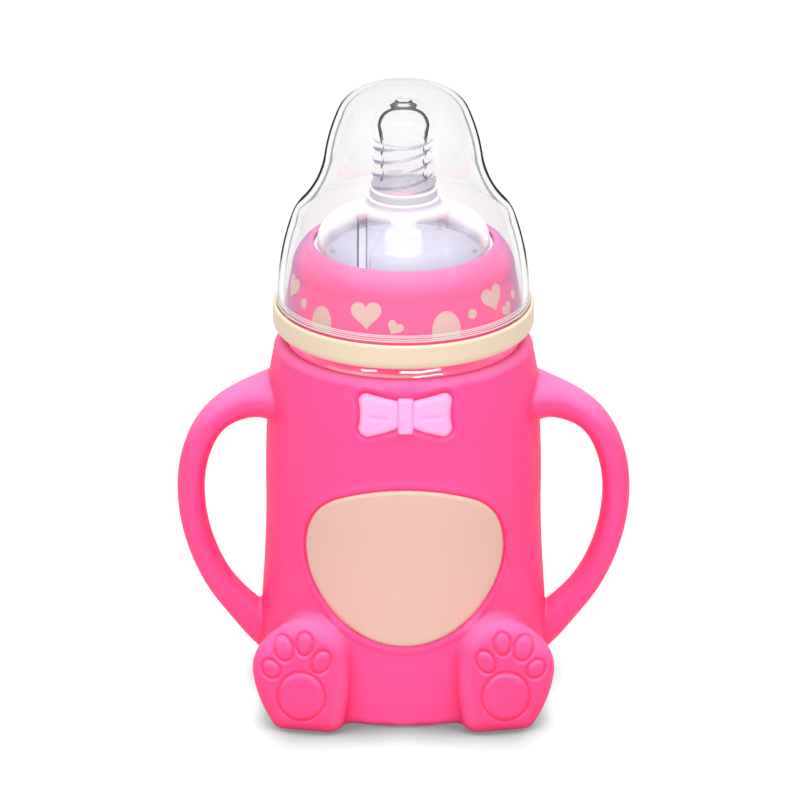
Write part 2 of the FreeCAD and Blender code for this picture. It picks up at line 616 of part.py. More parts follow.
# ---------------------------------------------------------------------------
# Glass bottle: straight side, short shoulder, wide neck with a thread ridge.
# ---------------------------------------------------------------------------
def glass_bottle():
    outer, base, neck_r = dim("glass_r"), dim("glass_base_z"), dim("glass_neck_r")
    inner, floor = outer - "glass_wall", base + "glass_bottom"
    push_up_z = base + "glass_push_up"
    rim_side_z = dim("glass_rim_z") - "glass_rim_round"
    body = turned_body("glass_bottle", "GlassWall", [
        (0, push_up_z),
        (dim("glass_push_up_r") - "glass_push_up_run", push_up_z), ("glass_push_up_r", base),
        (outer - "glass_corner", base, "glass_corner", LEFT),
        (outer, base + "glass_corner"),
        (outer, "glass_shoulder_z", "glass_arc_shoulder", LEFT),
        (neck_r, "glass_shoulder_end_z"),
        (neck_r, rim_side_z, "glass_rim_round", LEFT),
        (neck_r - "glass_rim_round", "glass_rim_z"),
        (dim("glass_neck_bore_r") + "glass_rim_round", "glass_rim_z", "glass_rim_round", LEFT),
        ("glass_neck_bore_r", rim_side_z),
        ("glass_neck_bore_r", "glass_neck_in_z", "glass_arc_shoulder_in", RIGHT),
        (inner, "glass_shoulder_in_z"),
        (inner, floor + "glass_corner_in", "glass_corner_in", RIGHT),
        (inner - "glass_corner_in", floor),
        (0, floor),
    ])
    helix(body, "GlassThread",
          ridge(neck_r - "thread_overlap", "thread_crest_r", dim("thread_start_z"),
                "thread_root_half", "thread_crest_half"),
          "thread_pitch", "thread_rise")
    return body


# ---------------------------------------------------------------------------
# Gasket and straw adapter: a disc with a stepped spigot above and a nozzle
# for the straw below.
# ---------------------------------------------------------------------------
def adapter_gasket():
    return turned_body("adapter_gasket", "GasketRing", [
        ("gasket_bore_r", "gasket_z"), ("gasket_r", "gasket_z"),
        ("gasket_r", "gasket_top_z"), ("gasket_bore_r", "gasket_top_z"),
    ])


def straw_adapter():
    spigot_r, disc_top = dim("spigot_r"), dim("disc_top_z")
    tip_r, tip_z, shoulder_z = dim("spigot_tip_r"), dim("spigot_tip_z"), dim("spigot_top_z")
    nodes = [
        ("spigot_bore_r", "nozzle_end_z"), (dim("nozzle_r") - "nozzle_taper", "nozzle_end_z"),
        ("nozzle_r", dim("nozzle_end_z") + "nozzle_taper_len"), ("nozzle_r", "nozzle_skirt_z"),
        ("nozzle_skirt_r", "nozzle_skirt_z"), ("nozzle_skirt_r", "disc_web_z"),
        ("disc_web_r", "disc_web_z"), ("disc_web_r", "gasket_top_z"),
        ("disc_r", "gasket_top_z"), ("disc_r", disc_top),
        (spigot_r + "spigot_root_chamfer", disc_top),
        (spigot_r, disc_top + "spigot_root_chamfer"),
    ]
    for k in range(SPIGOT_RIBS):
        rib_z = disc_top + "spigot_rib_rise" + dim("spigot_rib_pitch") * k
        nodes += [(spigot_r, rib_z - "spigot_rib_half"), (spigot_r + "spigot_rib", rib_z),
                  (spigot_r, rib_z + "spigot_rib_half")]
    nodes += [
        (spigot_r, shoulder_z), (tip_r + "spigot_shoulder_run", shoulder_z),
        (tip_r, shoulder_z + "spigot_shoulder_rise"), (tip_r, tip_z - "spigot_tip_chamfer"),
        (tip_r - "spigot_tip_chamfer", tip_z), ("spigot_bore_r", tip_z),
    ]
    body = turned_body("straw_adapter", "AdapterTurned", nodes)

    sketch = sketch_on(body, "AirWindow", "XY_Plane")
    pitch_r, window_r = dim("disc_window_pitch_r"), dim("disc_window_r")
    hole = Part.Circle(V(pitch_r.value, 0, 0), V(0, 0, 1), window_r.value)
    circle = sketch.addGeometry(hole, False)
    sketch.addConstraint(Sketcher.Constraint("PointOnObject", circle, 3, -1))
    constrain(sketch, pitch_r, "DistanceX", -1, 1, circle, 3)
    constrain(sketch, window_r, "Radius", circle)
    window = add_feature(body, "Pocket", "AirWindowCut", sketch)
    window.Type = 1  # through all
    window.Reversed = True  # upwards, from the XY plane
    polar_pattern(body, "AirWindows", window, AIR_WINDOWS)
    return body


# ---------------------------------------------------------------------------
# Straw with a weight at its end, so that it follows the drink.
# ---------------------------------------------------------------------------
def straw_tube():
    return turned_body("straw_tube", "StrawWall", [
        ("straw_bore_r", "straw_low_z"), ("straw_r", "straw_low_z"),
        ("straw_r", "straw_top_z"), ("straw_bore_r", "straw_top_z"),
    ])


def weight_cap():
    outer, top, nub_top = dim("weight_cap_r"), dim("weight_cap_top_z"), dim("weight_nub_top_z")
    inner, ceiling = outer - "weight_wall", top - "weight_wall"
    return turned_body("weight_cap", "WeightCapTurned", [
        ("weight_nub_bore_r", ceiling),
        (inner - "weight_in_run", ceiling, "weight_arc_in", RIGHT),
        (inner, ceiling - "weight_in_drop"), (inner, "weight_mid_z"),
        (outer, "weight_mid_z"), (outer, top - "weight_cap_drop", "weight_arc_cap", LEFT),
        ("weight_neck_r", top), ("weight_nub_r", top),
        ("weight_nub_r", nub_top - "weight_nub_taper_len"),
        (dim("weight_nub_r") - "weight_nub_taper", nub_top),
        ("weight_nub_bore_r", nub_top),
    ])


def weight_cage():
    """Slotted lower half, with a skirt that stands up inside the cap."""
    outer, low, mid = dim("weight_cap_r"), dim("weight_low_z"), dim("weight_mid_z")
    seam_z, skirt_top, floor = mid - "weight_seam", mid + "weight_skirt", low + "cage_floor"
    skirt_r = outer - "weight_wall" - "weight_seam"
    inner = outer - "weight_wall" - "cage_rib"
    body = turned_body("weight_cage", "WeightCageTurned", [
        ("cage_bore_r", low), (outer - "cage_corner", low, "cage_arc_corner", LEFT),
        (outer, low + "cage_corner"), (outer, seam_z), (skirt_r, seam_z),
        (skirt_r, skirt_top), (inner, skirt_top),
        (inner, low + "cage_corner", "cage_corner_in", RIGHT),
        (inner - "cage_corner_in", floor), ("cage_bore_r", floor),
    ])
    slot_half = dim("cage_slot_half")
    slot_low, slot_top = low + "cage_slot_rise", mid - "cage_slot_drop"
    sketch = profile_xz(body, "CageSlot", [
        (-slot_half, slot_low), (slot_half, slot_low),
        (slot_half, slot_top), (-slot_half, slot_top),
    ])
    slot = add_feature(body, "Pocket", "CageSlotCut", sketch)
    slot.Type = 0  # by length
    bind(slot, "Length", "cage_slot_depth")
    slot.Reversed = True  # towards -Y
    polar_pattern(body, "CageSlots", slot, CAGE_SLOTS)
    return body


def steel_weight():
    side_r = dim("steel_r") - "steel_round"
    return turned_body("steel_weight", "SteelTurned", [
        ("steel_bore_r", "steel_z"), (side_r, "steel_z", "steel_round", LEFT),
        ("steel_r", dim("steel_z") + "steel_round"),
        ("steel_r", dim("steel_top_z") - "steel_round", "steel_round", LEFT),
        (side_r, "steel_top_z"), ("steel_bore_r", "steel_top_z"),
    ])


# ---------------------------------------------------------------------------
# Nipple: flange, mound, ribbed stem with a triple spiral, bulb with a dimple.
# ---------------------------------------------------------------------------
def nipple():
    stem_r, stem_z = dim("nip_stem_r"), dim("nip_stem_z")
    body = turned_body("nipple", "NippleWall", [
        ("nip_in_wall_r", "nip_flange_z"), ("nip_flange_r", "nip_flange_z"),
        ("nip_flange_r", "nip_flange_top_z"), ("nip_wall_r", "nip_flange_top_z"),
        ("nip_wall_r", "nip_wall_z", "nip_arc_mound", LEFT),
        ("nip_mound_r", "nip_mound_z"),
        ("nip_root_r", "nip_root_z", "nip_arc_root", RIGHT),
        ("nip_step_r", "nip_step_z"),
        ("nip_step_two_r", dim("nip_step_z") + "nip_step_rise"),
        (dim("nip_step_two_r") - "nip_step_taper", stem_z - "nip_stem_step_half"),
        ("nip_stem_low_r", stem_z + "nip_stem_step_half"),
        (stem_r, dim("nip_stem_top_z") - "nip_stem_straight"),
        (stem_r, "nip_stem_top_z", "nip_arc_bulb_low", LEFT),
        ("nip_bulb_r", "nip_bulb_z", "nip_arc_bulb", LEFT),
        ("nip_tip_r", "nip_top_z"), ("nip_dimple_r", "nip_dimple_z"), (0, "nip_dimple_z"),
        (0, "nip_in_top_z"), ("nip_in_tip_r", "nip_in_top_z", "nip_arc_in_bulb", RIGHT),
        ("nip_in_bulb_r", "nip_in_bulb_z"), ("nip_in_stem_r", "nip_in_stem_top_z"),
        ("nip_in_stem_r", "nip_in_stem_z"), ("nip_in_step_r", "nip_in_step_z"),
        ("nip_in_root_r", "nip_in_root_z"),
        ("nip_in_mound_r", "nip_in_mound_z", "nip_arc_in_mound", RIGHT),
        ("nip_in_wall_r", "nip_in_wall_z"),
    ])
    # Each spiral starts a share of the lead higher; all end at one height.
    for i, name in enumerate(NIPPLE_SPIRALS):
        lift = dim("nip_rib_lead") * (i / len(NIPPLE_SPIRALS))
        helix(body, "NippleSpiral" + name,
              ridge(stem_r - "nip_rib_overlap", stem_r + "nip_rib_out",
                    dim("nip_rib_z") + lift, "nip_rib_half", "nip_rib_crest_half"),
              "nip_rib_lead", dim("nip_rib_rise") - lift)
    return body


# ---------------------------------------------------------------------------
# Screw collar with its internal thread ridge.
# ---------------------------------------------------------------------------
def screw_collar():
    body = turned_body("screw_collar", "CollarWall", [
        ("collar_bore_r", "collar_low_z"), ("collar_skirt_r", "collar_low_z"),
        ("collar_skirt_r", "collar_skirt_z"), ("collar_wall_r", "collar_skirt_z"),
        (dim("collar_wall_r") - "collar_wall_taper", "collar_wall_z", "collar_arc_wall", LEFT),
        ("collar_mid_r", "collar_mid_z", "collar_arc_top", LEFT),
        ("collar_top_r", "collar_top_z", "collar_arc_lip", LEFT),
        ("collar_mouth_r", dim("collar_mouth_z") - "collar_mouth_drop"),
        ("collar_mouth_r", "collar_lip_z"),
        ("collar_seat_r", "collar_lip_z"), ("collar_seat_r", "collar_seat_z"),
        ("collar_neck_r", dim("collar_seat_z") - "collar_seat_drop"),
        ("collar_neck_r", "collar_neck_z"), ("collar_bore_r", "collar_bore_top_z"),
    ])
    start_z = dim("thread_start_z") - "thread_offset"
    helix(body, "CollarThread", [
        ("thread_in_root_r", start_z - "thread_root_half"),
        ("thread_in_root_r", start_z + "thread_root_half"),
        ("thread_in_crest_r", start_z + "thread_crest_half"),
        ("thread_in_crest_r", start_z - "thread_crest_half"),
    ], "thread_pitch", "thread_rise")
    return body


# ---------------------------------------------------------------------------
# Cream ring: hooks over the collar's skirt and seats the dome's rim.
# ---------------------------------------------------------------------------
def collar_base_ring():
    return turned_body("collar_base_ring", "RingTurned", [
        ("ring_low_r", "ring_low_z", "ring_arc_low", LEFT),
        ("ring_r", "ring_side_z"), ("ring_r", "ring_top_side_z", "ring_arc_top", LEFT),
        ("ring_top_r", "ring_top_z"), ("ring_seat_r", "ring_top_z"),
        ("ring_seat_r", "ring_seat_z"), ("ring_hook_r", "ring_seat_z"),
        ("ring_hook_r", "ring_hook_z"), ("ring_bore_r", "ring_hook_z"),
        ("ring_bore_r", "ring_bore_low_z"),
    ])


# ---------------------------------------------------------------------------
# Dome: clear cover over the nipple, its rim seated in the cream ring.
# ---------------------------------------------------------------------------
def dome_cap():
    # The crowns are centred on the axis.
    crown = cap_radius(dim("dome_e_r"), dim("dome_top_z") - "dome_e_z")
    crown_in = cap_radius(dim("dome_in_e_r"), dim("dome_in_top_z") - "dome_in_e_z")
    return turned_body("dome_cap", "DomeShell", [
        (dim("dome_rim_r") - "dome_skin" - "dome_rim_extra", "dome_rim_z"),
        ("dome_rim_r", "dome_rim_z"), ("dome_rim_r", "dome_rim_top_z"),
        ("dome_wall_r", "dome_wall_z", "dome_arc_wall", LEFT),
        ("dome_a_r", "dome_a_z", "dome_arc_a", LEFT),
        ("dome_b_r", "dome_b_z", "dome_arc_b", RIGHT),
        ("dome_c_r", "dome_c_z", "dome_arc_c", LEFT),
        ("dome_d_r", "dome_d_z", "dome_arc_d", LEFT),
        ("dome_e_r", "dome_e_z", crown, LEFT),
        (0, "dome_top_z"),
        (0, "dome_in_top_z", crown_in, RIGHT),
        ("dome_in_e_r", "dome_in_e_z", dim("dome_arc_d") - "dome_skin", RIGHT),
        ("dome_in_d_r", "dome_in_d_z", dim("dome_arc_c") - "dome_skin", RIGHT),
        ("dome_in_c_r", "dome_in_c_z", dim("dome_arc_b") + "dome_skin", LEFT),
        ("dome_in_b_r", "dome_in_b_z", dim("dome_arc_a") - "dome_skin", RIGHT),
        ("dome_in_a_r", "dome_in_a_z", dim("dome_arc_wall") - "dome_skin", RIGHT),
        ("dome_in_wall_r", "dome_wall_z"),
    ])


# ---------------------------------------------------------------------------
# Build, check every object, then write each piece to its own file.
# ---------------------------------------------------------------------------
pieces = sleeve_pieces() + [
    glass_bottle(), adapter_gasket(), straw_adapter(), straw_tube(), weight_cap(),
    weight_cage(), steel_weight(), nipple(), screw_collar(), collar_base_ring(), dome_cap(),
]
doc.recompute()

for obj in doc.Objects:
    if any(word in ("Invalid", "Error") for word in obj.State):
        raise RuntimeError("%s is in error" % obj.Name)
for piece in pieces:
    shape = piece.Shape
    if shape.isNull() or not shape.isValid():
        raise RuntimeError("%s has no valid solid" % piece.Label)
    if len(shape.Solids) != 1:
        raise RuntimeError("%s has %d solids" % (piece.Label, len(shape.Solids)))

os.makedirs("parts", exist_ok=True)
for piece in pieces:
    piece.Shape.exportStep("parts/%s.step" % piece.Label)
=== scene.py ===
# A child's straw bottle: glass bottle in a pink silicone sleeve with two loop
# handles, two feet, a belly patch and a bow; above it a printed screw collar,
# a clear teat with a weighted straw, and a clear dome cap.
# It stands upright on z = 0 with its axis on Z, faces -Y, and has a handle on
# each side along X.  Shapes are in millimetres; shaders, stage, lights and
# camera distance are in metres.
import math

import bmesh
import bpy
import numpy as np
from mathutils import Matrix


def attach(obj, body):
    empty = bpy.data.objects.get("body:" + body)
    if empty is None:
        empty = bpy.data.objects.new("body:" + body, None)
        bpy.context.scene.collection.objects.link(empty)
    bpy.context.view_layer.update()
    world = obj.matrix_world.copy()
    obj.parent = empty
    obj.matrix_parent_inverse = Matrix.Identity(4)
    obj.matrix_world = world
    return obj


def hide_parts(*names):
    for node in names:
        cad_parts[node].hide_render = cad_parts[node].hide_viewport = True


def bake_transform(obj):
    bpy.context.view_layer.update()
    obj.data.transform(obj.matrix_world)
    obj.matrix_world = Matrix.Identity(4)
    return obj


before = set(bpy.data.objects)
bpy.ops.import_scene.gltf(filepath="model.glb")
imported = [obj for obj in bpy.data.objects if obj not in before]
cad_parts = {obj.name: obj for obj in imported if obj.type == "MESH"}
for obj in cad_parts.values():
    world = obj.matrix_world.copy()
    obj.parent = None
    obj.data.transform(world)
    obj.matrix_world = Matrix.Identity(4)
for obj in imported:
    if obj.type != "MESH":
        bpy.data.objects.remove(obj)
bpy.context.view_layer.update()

import openvdb
from mathutils import Vector

MM = 0.001
TAU = 2 * math.pi
scene = bpy.context.scene

# Dimensions shared by several pieces (mm)
BOTTLE_R = 29.0
THREAD_Z = 104.0        # start of the neck's thread
THREAD_PITCH = 4.0
THREAD_TURNS = 1.25
THREAD_ROOT = 1.0       # half width at the foot of the ridge
THREAD_CREST = 0.5      # half width at its top
THREAD_RISE = 1.3
STEM_PITCH = 3.5        # spacing of the spiral ribs on the teat's stem
BATCH = 20000           # points per distance batch, to bound memory


# ---------------------------------------------------------------------------
# Outlines and distances
# ---------------------------------------------------------------------------
def chain(nodes, step):
    """Points along a closed chain of lines and arcs.  A node is (x, y) or
    (x, y, radius, side): side 1 puts the arc's centre on the left of the way
    to the next node, -1 on the right."""
    points = []
    for i, node in enumerate(nodes):
        start = np.array(node[:2], float)
        end = np.array(nodes[(i + 1) % len(nodes)][:2], float)
        span = end - start
        chord = math.hypot(*span)
        if len(node) == 2:
            count = max(1, math.ceil(chord / step))
            points += [start + span * (j / count) for j in range(count)]
            continue
        radius, side = node[2:]
        rise = math.sqrt(max(radius * radius - chord * chord / 4, 1e-9))
        normal = np.array([-span[1], span[0]]) / chord
        centre = (start + end) / 2 + side * normal * rise
        first = math.atan2(start[1] - centre[1], start[0] - centre[0])
        last = math.atan2(end[1] - centre[1], end[0] - centre[0])
        turn = (last - first) % TAU if side > 0 else -((first - last) % TAU)
        count = max(2, math.ceil(abs(turn) * radius / step))
        for j in range(count):
            angle = first + turn * j / count
            points.append((centre[0] + radius * math.cos(angle),
                           centre[1] + radius * math.sin(angle)))
    return np.array(points)


def densify(profile, z_low, z_high, step, r_min=0.0):
    """Cut the stretches of a closed profile between two heights finer."""
    points = []
    for start, end in zip(profile, np.roll(profile, -1, axis=0)):
        middle = (start + end) / 2
        count = 1
        if z_low <= middle[1] <= z_high and middle[0] >= r_min:
            count = max(1, math.ceil(np.linalg.norm(end - start) / step))
        points += [start + (end - start) * j / count for j in range(count)]
    return np.array(points)


def signed_distance(outline, x, y):
    """Signed distance to a closed polyline, negative inside."""
    x, y = np.asarray(x, float), np.asarray(y, float)
    flat_x, flat_y = x.ravel(), y.ravel()
    start = outline
    end = np.roll(outline, -1, axis=0)
    edge = end - start
    edge_sq = (edge ** 2).sum(1) + 1e-12
    edge_y = np.where(np.abs(edge[None, :, 1]) < 1e-12, 1e-12, edge[None, :, 1])
    out = np.empty(len(flat_x))
    for first in range(0, len(flat_x), BATCH):
        part = slice(first, first + BATCH)
        px, py = flat_x[part, None], flat_y[part, None]
        dx, dy = px - start[None, :, 0], py - start[None, :, 1]
        along = np.clip((dx * edge[None, :, 0] + dy * edge[None, :, 1]) / edge_sq[None], 0, 1)
        nearest = ((dx - along * edge[None, :, 0]) ** 2
                   + (dy - along * edge[None, :, 1]) ** 2).min(1)
        crossing = (start[None, :, 1] <= py) != (end[None, :, 1] <= py)
        cross_x = start[None, :, 0] + (py - start[None, :, 1]) * (edge[None, :, 0] / edge_y)
        inside = (np.sum(crossing & (px < cross_x), axis=1) % 2) == 1
        out[part] = np.where(inside, -1, 1) * np.sqrt(nearest)
    return out.reshape(x.shape)


def distance_table(outline, x_span, y_span, step):
    """The signed distance as a bilinear table: returns a function of x, y."""
    xs = np.arange(x_span[0], x_span[1] + step, step)
    ys = np.arange(y_span[0], y_span[1] + step, step)
    table = signed_distance(outline, *np.meshgrid(xs, ys, indexing="ij"))

    def look_up(x, y):
        col = np.clip((x - x_span[0]) / step, 0, table.shape[0] - 1.001)
        row = np.clip((y - y_span[0]) / step, 0, table.shape[1] - 1.001)
        i, j = col.astype(int), row.astype(int)
        u, v = col - i, row - j
        return (table[i, j] * (1 - u) * (1 - v) + table[i + 1, j] * u * (1 - v)
                + table[i, j + 1] * (1 - u) * v + table[i + 1, j + 1] * u * v)

    return look_up


def soft_min(a, b, blend):
    t = np.clip(0.5 + 0.5 * (b - a) / blend, 0, 1)
    return b * (1 - t) + a * t - blend * t * (1 - t)


def soft_max(a, b, blend):
    return -soft_min(-a, -b, blend)


def ease(value, low, high):
    t = np.clip((value - low) / (high - low), 0, 1)
    return t * t * (3 - 2 * t)


def bell(value, width):
    return np.exp(-(value / width) ** 2)


def rounded_corner(a, b, radius):
    """Two faces meeting in a rounded edge; both are distances plus radius."""
    return (np.sqrt(np.maximum(a, 0) ** 2 + np.maximum(b, 0) ** 2)
            + np.minimum(np.maximum(a, b), 0) - radius)


def ellipse_distance(u, v, half_u, half_v, core, depth):
    """Signed distance to an ellipse; inside its core it is just -depth."""
    ratio = np.sqrt((u / half_u) ** 2 + (v / half_v) ** 2)
    slope = np.sqrt((u / half_u ** 2) ** 2 + (v / half_v ** 2) ** 2) + 1e-9
    return np.where(ratio < core, -depth, ratio * (ratio - 1) / slope)


def oval_distance(x, y, pad):
    """Signed distance to a leaning oval, a row of PADS."""
    centre_x, centre_y, half_height, half_width, lean = pad
    cos, sin = math.cos(math.radians(lean)), math.sin(math.radians(lean))
    dx, dy = x - centre_x, y - centre_y
    return ellipse_distance(dx * cos + dy * sin, -dx * sin + dy * cos, half_width, half_height,
                            core=0.05, depth=min(half_height, half_width))


# ---------------------------------------------------------------------------
# Mesh helpers
# ---------------------------------------------------------------------------
def link_object(name, mesh):
    ob = bpy.data.objects.new(name, mesh)
    scene.collection.objects.link(ob)
    return ob


def make_object(name, verts, faces, sharp):
    """Smooth-shaded object from points in mm; sharp is an angle in degrees."""
    mesh = bpy.data.meshes.new(name)
    mesh.from_pydata([tuple(v) for v in np.asarray(verts) * MM], [], faces)
    mesh.validate()
    bm = bmesh.new()
    bm.from_mesh(mesh)
    bmesh.ops.recalc_face_normals(bm, faces=bm.faces)
    bm.to_mesh(mesh)
    bm.free()
    mesh.polygons.foreach_set("use_smooth", [True] * len(mesh.polygons))
    mesh.set_sharp_from_angle(angle=math.radians(sharp))
    mesh.update()
    return link_object(name, mesh)


def stitch(ring, other):
    """Quads between two closed rings of vertex indices."""
    corners = (ring, np.roll(ring, -1), np.roll(other, -1), other)
    return list(zip(*(c.tolist() for c in corners)))


def turned(faces):
    """The same faces wound the other way, from the same first corner."""
    return [face[:1] + face[:0:-1] for face in faces]


def lathe(name, profile, segments, warp=None, sharp=38.0):
    """Revolve a closed profile; points on the axis become single vertices."""
    count = len(profile)
    angle = np.repeat((np.arange(segments) * TAU / segments)[None, :], count, 0)
    radius = np.repeat(profile[:, 0][:, None], segments, 1)
    height = np.repeat(profile[:, 1][:, None], segments, 1)
    if warp is not None:
        radius, height = warp(radius, height, angle)
    pole = profile[:, 0] < 1e-6
    verts, rings = [], np.zeros((count, segments), int)
    for i in range(count):
        if pole[i]:
            rings[i, :] = len(verts)
            verts.append((0.0, 0.0, height[i, 0]))
        else:
            rings[i, :] = len(verts) + np.arange(segments)
            verts.extend(zip(radius[i] * np.cos(angle[i]), radius[i] * np.sin(angle[i]),
                             height[i]))
    faces = []
    for i in range(count):
        j = (i + 1) % count
        if pole[i] and pole[j]:
            continue
        quads = stitch(rings[i], rings[j])
        if pole[i]:
            quads = [(p, r, s) for p, q, r, s in quads]
        elif pole[j]:
            quads = [(p, q, s) for p, q, r, s in quads]
        faces.extend(quads)
    return make_object(name, verts, faces, sharp)


def fill_rings(outline, centre, fractions):
    """A centre point, then copies of the outline growing out to it."""
    return np.concatenate([centre[None, :]]
                          + [centre + (outline - centre) * part for part in fractions])


def double_skin(name, front, back, ring_size, ring_count, sharp, opposed=False):
    """Close two layers of filled rings into a thin solid.  opposed winds the
    layers against each other before the normals are recalculated."""
    faces, rims = [], []
    for layer in (0, 1):
        centre = layer * len(front)
        rings = [centre + 1 + k * ring_size + np.arange(ring_size) for k in range(ring_count)]
        fan = [(centre, p, q) for p, q, _, _ in stitch(rings[0], rings[0])]
        faces += turned(fan) if opposed and layer == 1 else fan
        for inner, outer in zip(rings, rings[1:]):
            quads = stitch(inner, outer)
            faces += turned(quads) if opposed and layer == 0 else quads
        rims.append(rings[-1])
    faces += stitch(*rims)
    return make_object(name, np.concatenate([front, back]), faces, sharp)


# ---------------------------------------------------------------------------
# Shader graph helper
# ---------------------------------------------------------------------------
class Graph:
    """Short calls for building or extending a node tree.  A value may be a
    number, a colour or the socket it comes from."""

    def __init__(self, owner):
        self.owner = owner
        self.tree = owner.node_tree

    def node(self, kind, inputs=(), **properties):
        made = self.tree.nodes.new("ShaderNode" + kind)
        for key, value in properties.items():
            setattr(made, key, value)
        for key, value in dict(inputs).items():
            self.feed(made.inputs[key], value)
        return made

    def feed(self, socket, value):
        if isinstance(value, bpy.types.NodeSocket):
            self.tree.links.new(value, socket)
        elif socket.type == "RGBA":
            socket.default_value = (*value, 1)
        else:
            socket.default_value = value

    def find(self, kind):
        return next(n for n in self.tree.nodes if n.bl_idname == "ShaderNode" + kind)

    # arithmetic
    def maths(self, operation, *values):
        return self.node("Math", dict(enumerate(values)), operation=operation).outputs[0]

    def mul(self, first, *others):
        for value in others:
            first = self.maths("MULTIPLY", first, value)
        return first

    def plus(self, a, b):
        return self.maths("ADD", a, b)

    def minus(self, a, b):
        return self.maths("SUBTRACT", a, b)

    def inverse(self, mask):
        return self.minus(1.0, mask)

    def most(self, a, b):
        return self.maths("MAXIMUM", a, b)

    def size(self, value):
        return self.maths("ABSOLUTE", value)

    def away(self, value, centre):
        return self.size(self.minus(value, centre))

    def over(self, value, limit):
        return self.maths("GREATER_THAN", value, limit)

    def ramp(self, value, span, to=(0.0, 1.0)):
        """Map the span of the value linearly onto `to`, held at the ends."""
        return self.node("MapRange", {
            "Value": value, "From Min": span[0], "From Max": span[1],
            "To Min": to[0], "To Max": to[1]}).outputs["Result"]

    def fall(self, value, span):
        return self.ramp(value, span, to=(1.0, 0.0))

    # sources
    def split(self, vector):
        return self.node("SeparateXYZ", {0: vector}).outputs

    def xyz(self):
        return self.split(self.node("TexCoord").outputs["Object"])

    def radius(self, x, y):
        return self.maths("SQRT", self.plus(self.mul(x, x), self.mul(y, y)))

    def facing_x(self, x, y):
        """x, mirrored on the back half so marks repeat there half a turn on."""
        return self.mul(x, self.minus(1.0, self.mul(2.0, self.over(y, 0.0))))

    def facing(self, blend):
        return self.node("LayerWeight", {"Blend": blend}).outputs["Facing"]

    def noise(self, scale, detail=3.0, rough=0.5):
        return self.node("TexNoise", {
            "Vector": self.node("TexCoord").outputs["Object"], "Scale": scale,
            "Detail": detail, "Roughness": rough}).outputs["Fac"]

    def bump(self, height, strength, distance, **normal):
        return self.node("Bump", {"Height": height, "Strength": strength,
                                  "Distance": distance, **normal}).outputs["Normal"]

    # colours and shaders
    def mix(self, factor, a, b, blend="MIX"):
        return self.node("Mix", {0: factor, 6: a, 7: b},
                         data_type="RGBA", blend_type=blend).outputs[2] \
            if False else self._mix(factor, a, b, blend)

    def _mix(self, factor, a, b, blend):
        made = self.node("Mix", data_type="RGBA", blend_type=blend)
        for index, value in ((0, factor), (6, a), (7, b)):
            self.feed(made.inputs[index], value)
        return made.outputs[2]

    def diffuse(self, colour):
        return self.node("BsdfDiffuse", {"Color": colour}).outputs[0]

    def emission(self, colour, strength):
        return self.node("Emission", {"Color": colour, "Strength": strength}).outputs[0]

    def mix_shader(self, factor, a, b):
        return self.node("MixShader", {0: factor, 1: a, 2: b}).outputs[0]

    def finish(self, shader):
        self.feed(self.find("OutputMaterial").inputs["Surface"], shader)
        return self

    def recolour(self, factor, colour, blend="MIX"):
        """Mix one more colour over the principled shader's base."""
        base = self.find("BsdfPrincipled").inputs["Base Color"]
        self.feed(base, self.mix(factor, base.links[0].from_socket, colour, blend))

    def visible(self):
        """The socket of a clear material that takes what the camera sees."""
        surface = self.find("OutputMaterial").inputs["Surface"]
        return surface.links[0].from_node.inputs[1]

    def layer(self, mask, shader):
        """Lay one more shader over a clear material."""
        seen = self.visible()
        self.feed(seen, self.mix_shader(mask, seen.links[0].from_socket, shader))

    def glow(self, colour, strength):
        shader = self.find("BsdfPrincipled")
        self.feed(shader.inputs["Emission Color"], colour)
        self.feed(shader.inputs["Emission Strength"], strength)

    def no_light(self):
        """Keep emission from being sampled as a light."""
        self.owner.cycles.emission_sampling = "NONE"


def new_graph(name):
    material = bpy.data.materials.new(name)
    material.use_nodes = True
    material.node_tree.nodes.clear()
    net = Graph(material)
    net.node("OutputMaterial")
    return net


# ---------------------------------------------------------------------------
# Materials
# ---------------------------------------------------------------------------
def moulded(name, colour, edge, rough, specular, variation, scatter=0.0,
            scatter_radius=(1, 0.3, 0.3)):
    """Opaque moulded silicone or plastic: a colour that turns to `edge` at
    grazing angles as painted shade and wanders slightly, uneven gloss and a fine grain."""
    net = new_graph(name)
    broad = net.noise(scale=28.0, detail=2.0)
    medium = net.noise(scale=160.0, detail=4.0)
    fine = net.noise(scale=1400.0, detail=2.0, rough=0.6)
    # painted shade: the colour darkens to `edge` towards grazing angles
    base = net.mix(net.ramp(net.facing(blend=0.35), span=(0.15, 0.95)), colour, edge)
    deep = tuple(c * (1 - variation) for c in colour)
    grain = net.bump(fine, strength=0.05, distance=0.00002)
    return net.finish(net.node("BsdfPrincipled", {
        "Base Color": net.mix(net.ramp(broad, span=(0.35, 0.65), to=(0.0, 0.5)), base, deep),
        "Roughness": net.ramp(medium, span=(0.3, 0.7), to=rough),
        "Specular IOR Level": specular,
        "Coat Roughness": 0.12,
        "Subsurface Weight": scatter,
        "Subsurface Radius": scatter_radius,
        "Subsurface Scale": 0.0012,
        "Normal": net.bump(medium, strength=0.04, distance=0.0001, Normal=grain),
    }).outputs["BSDF"])


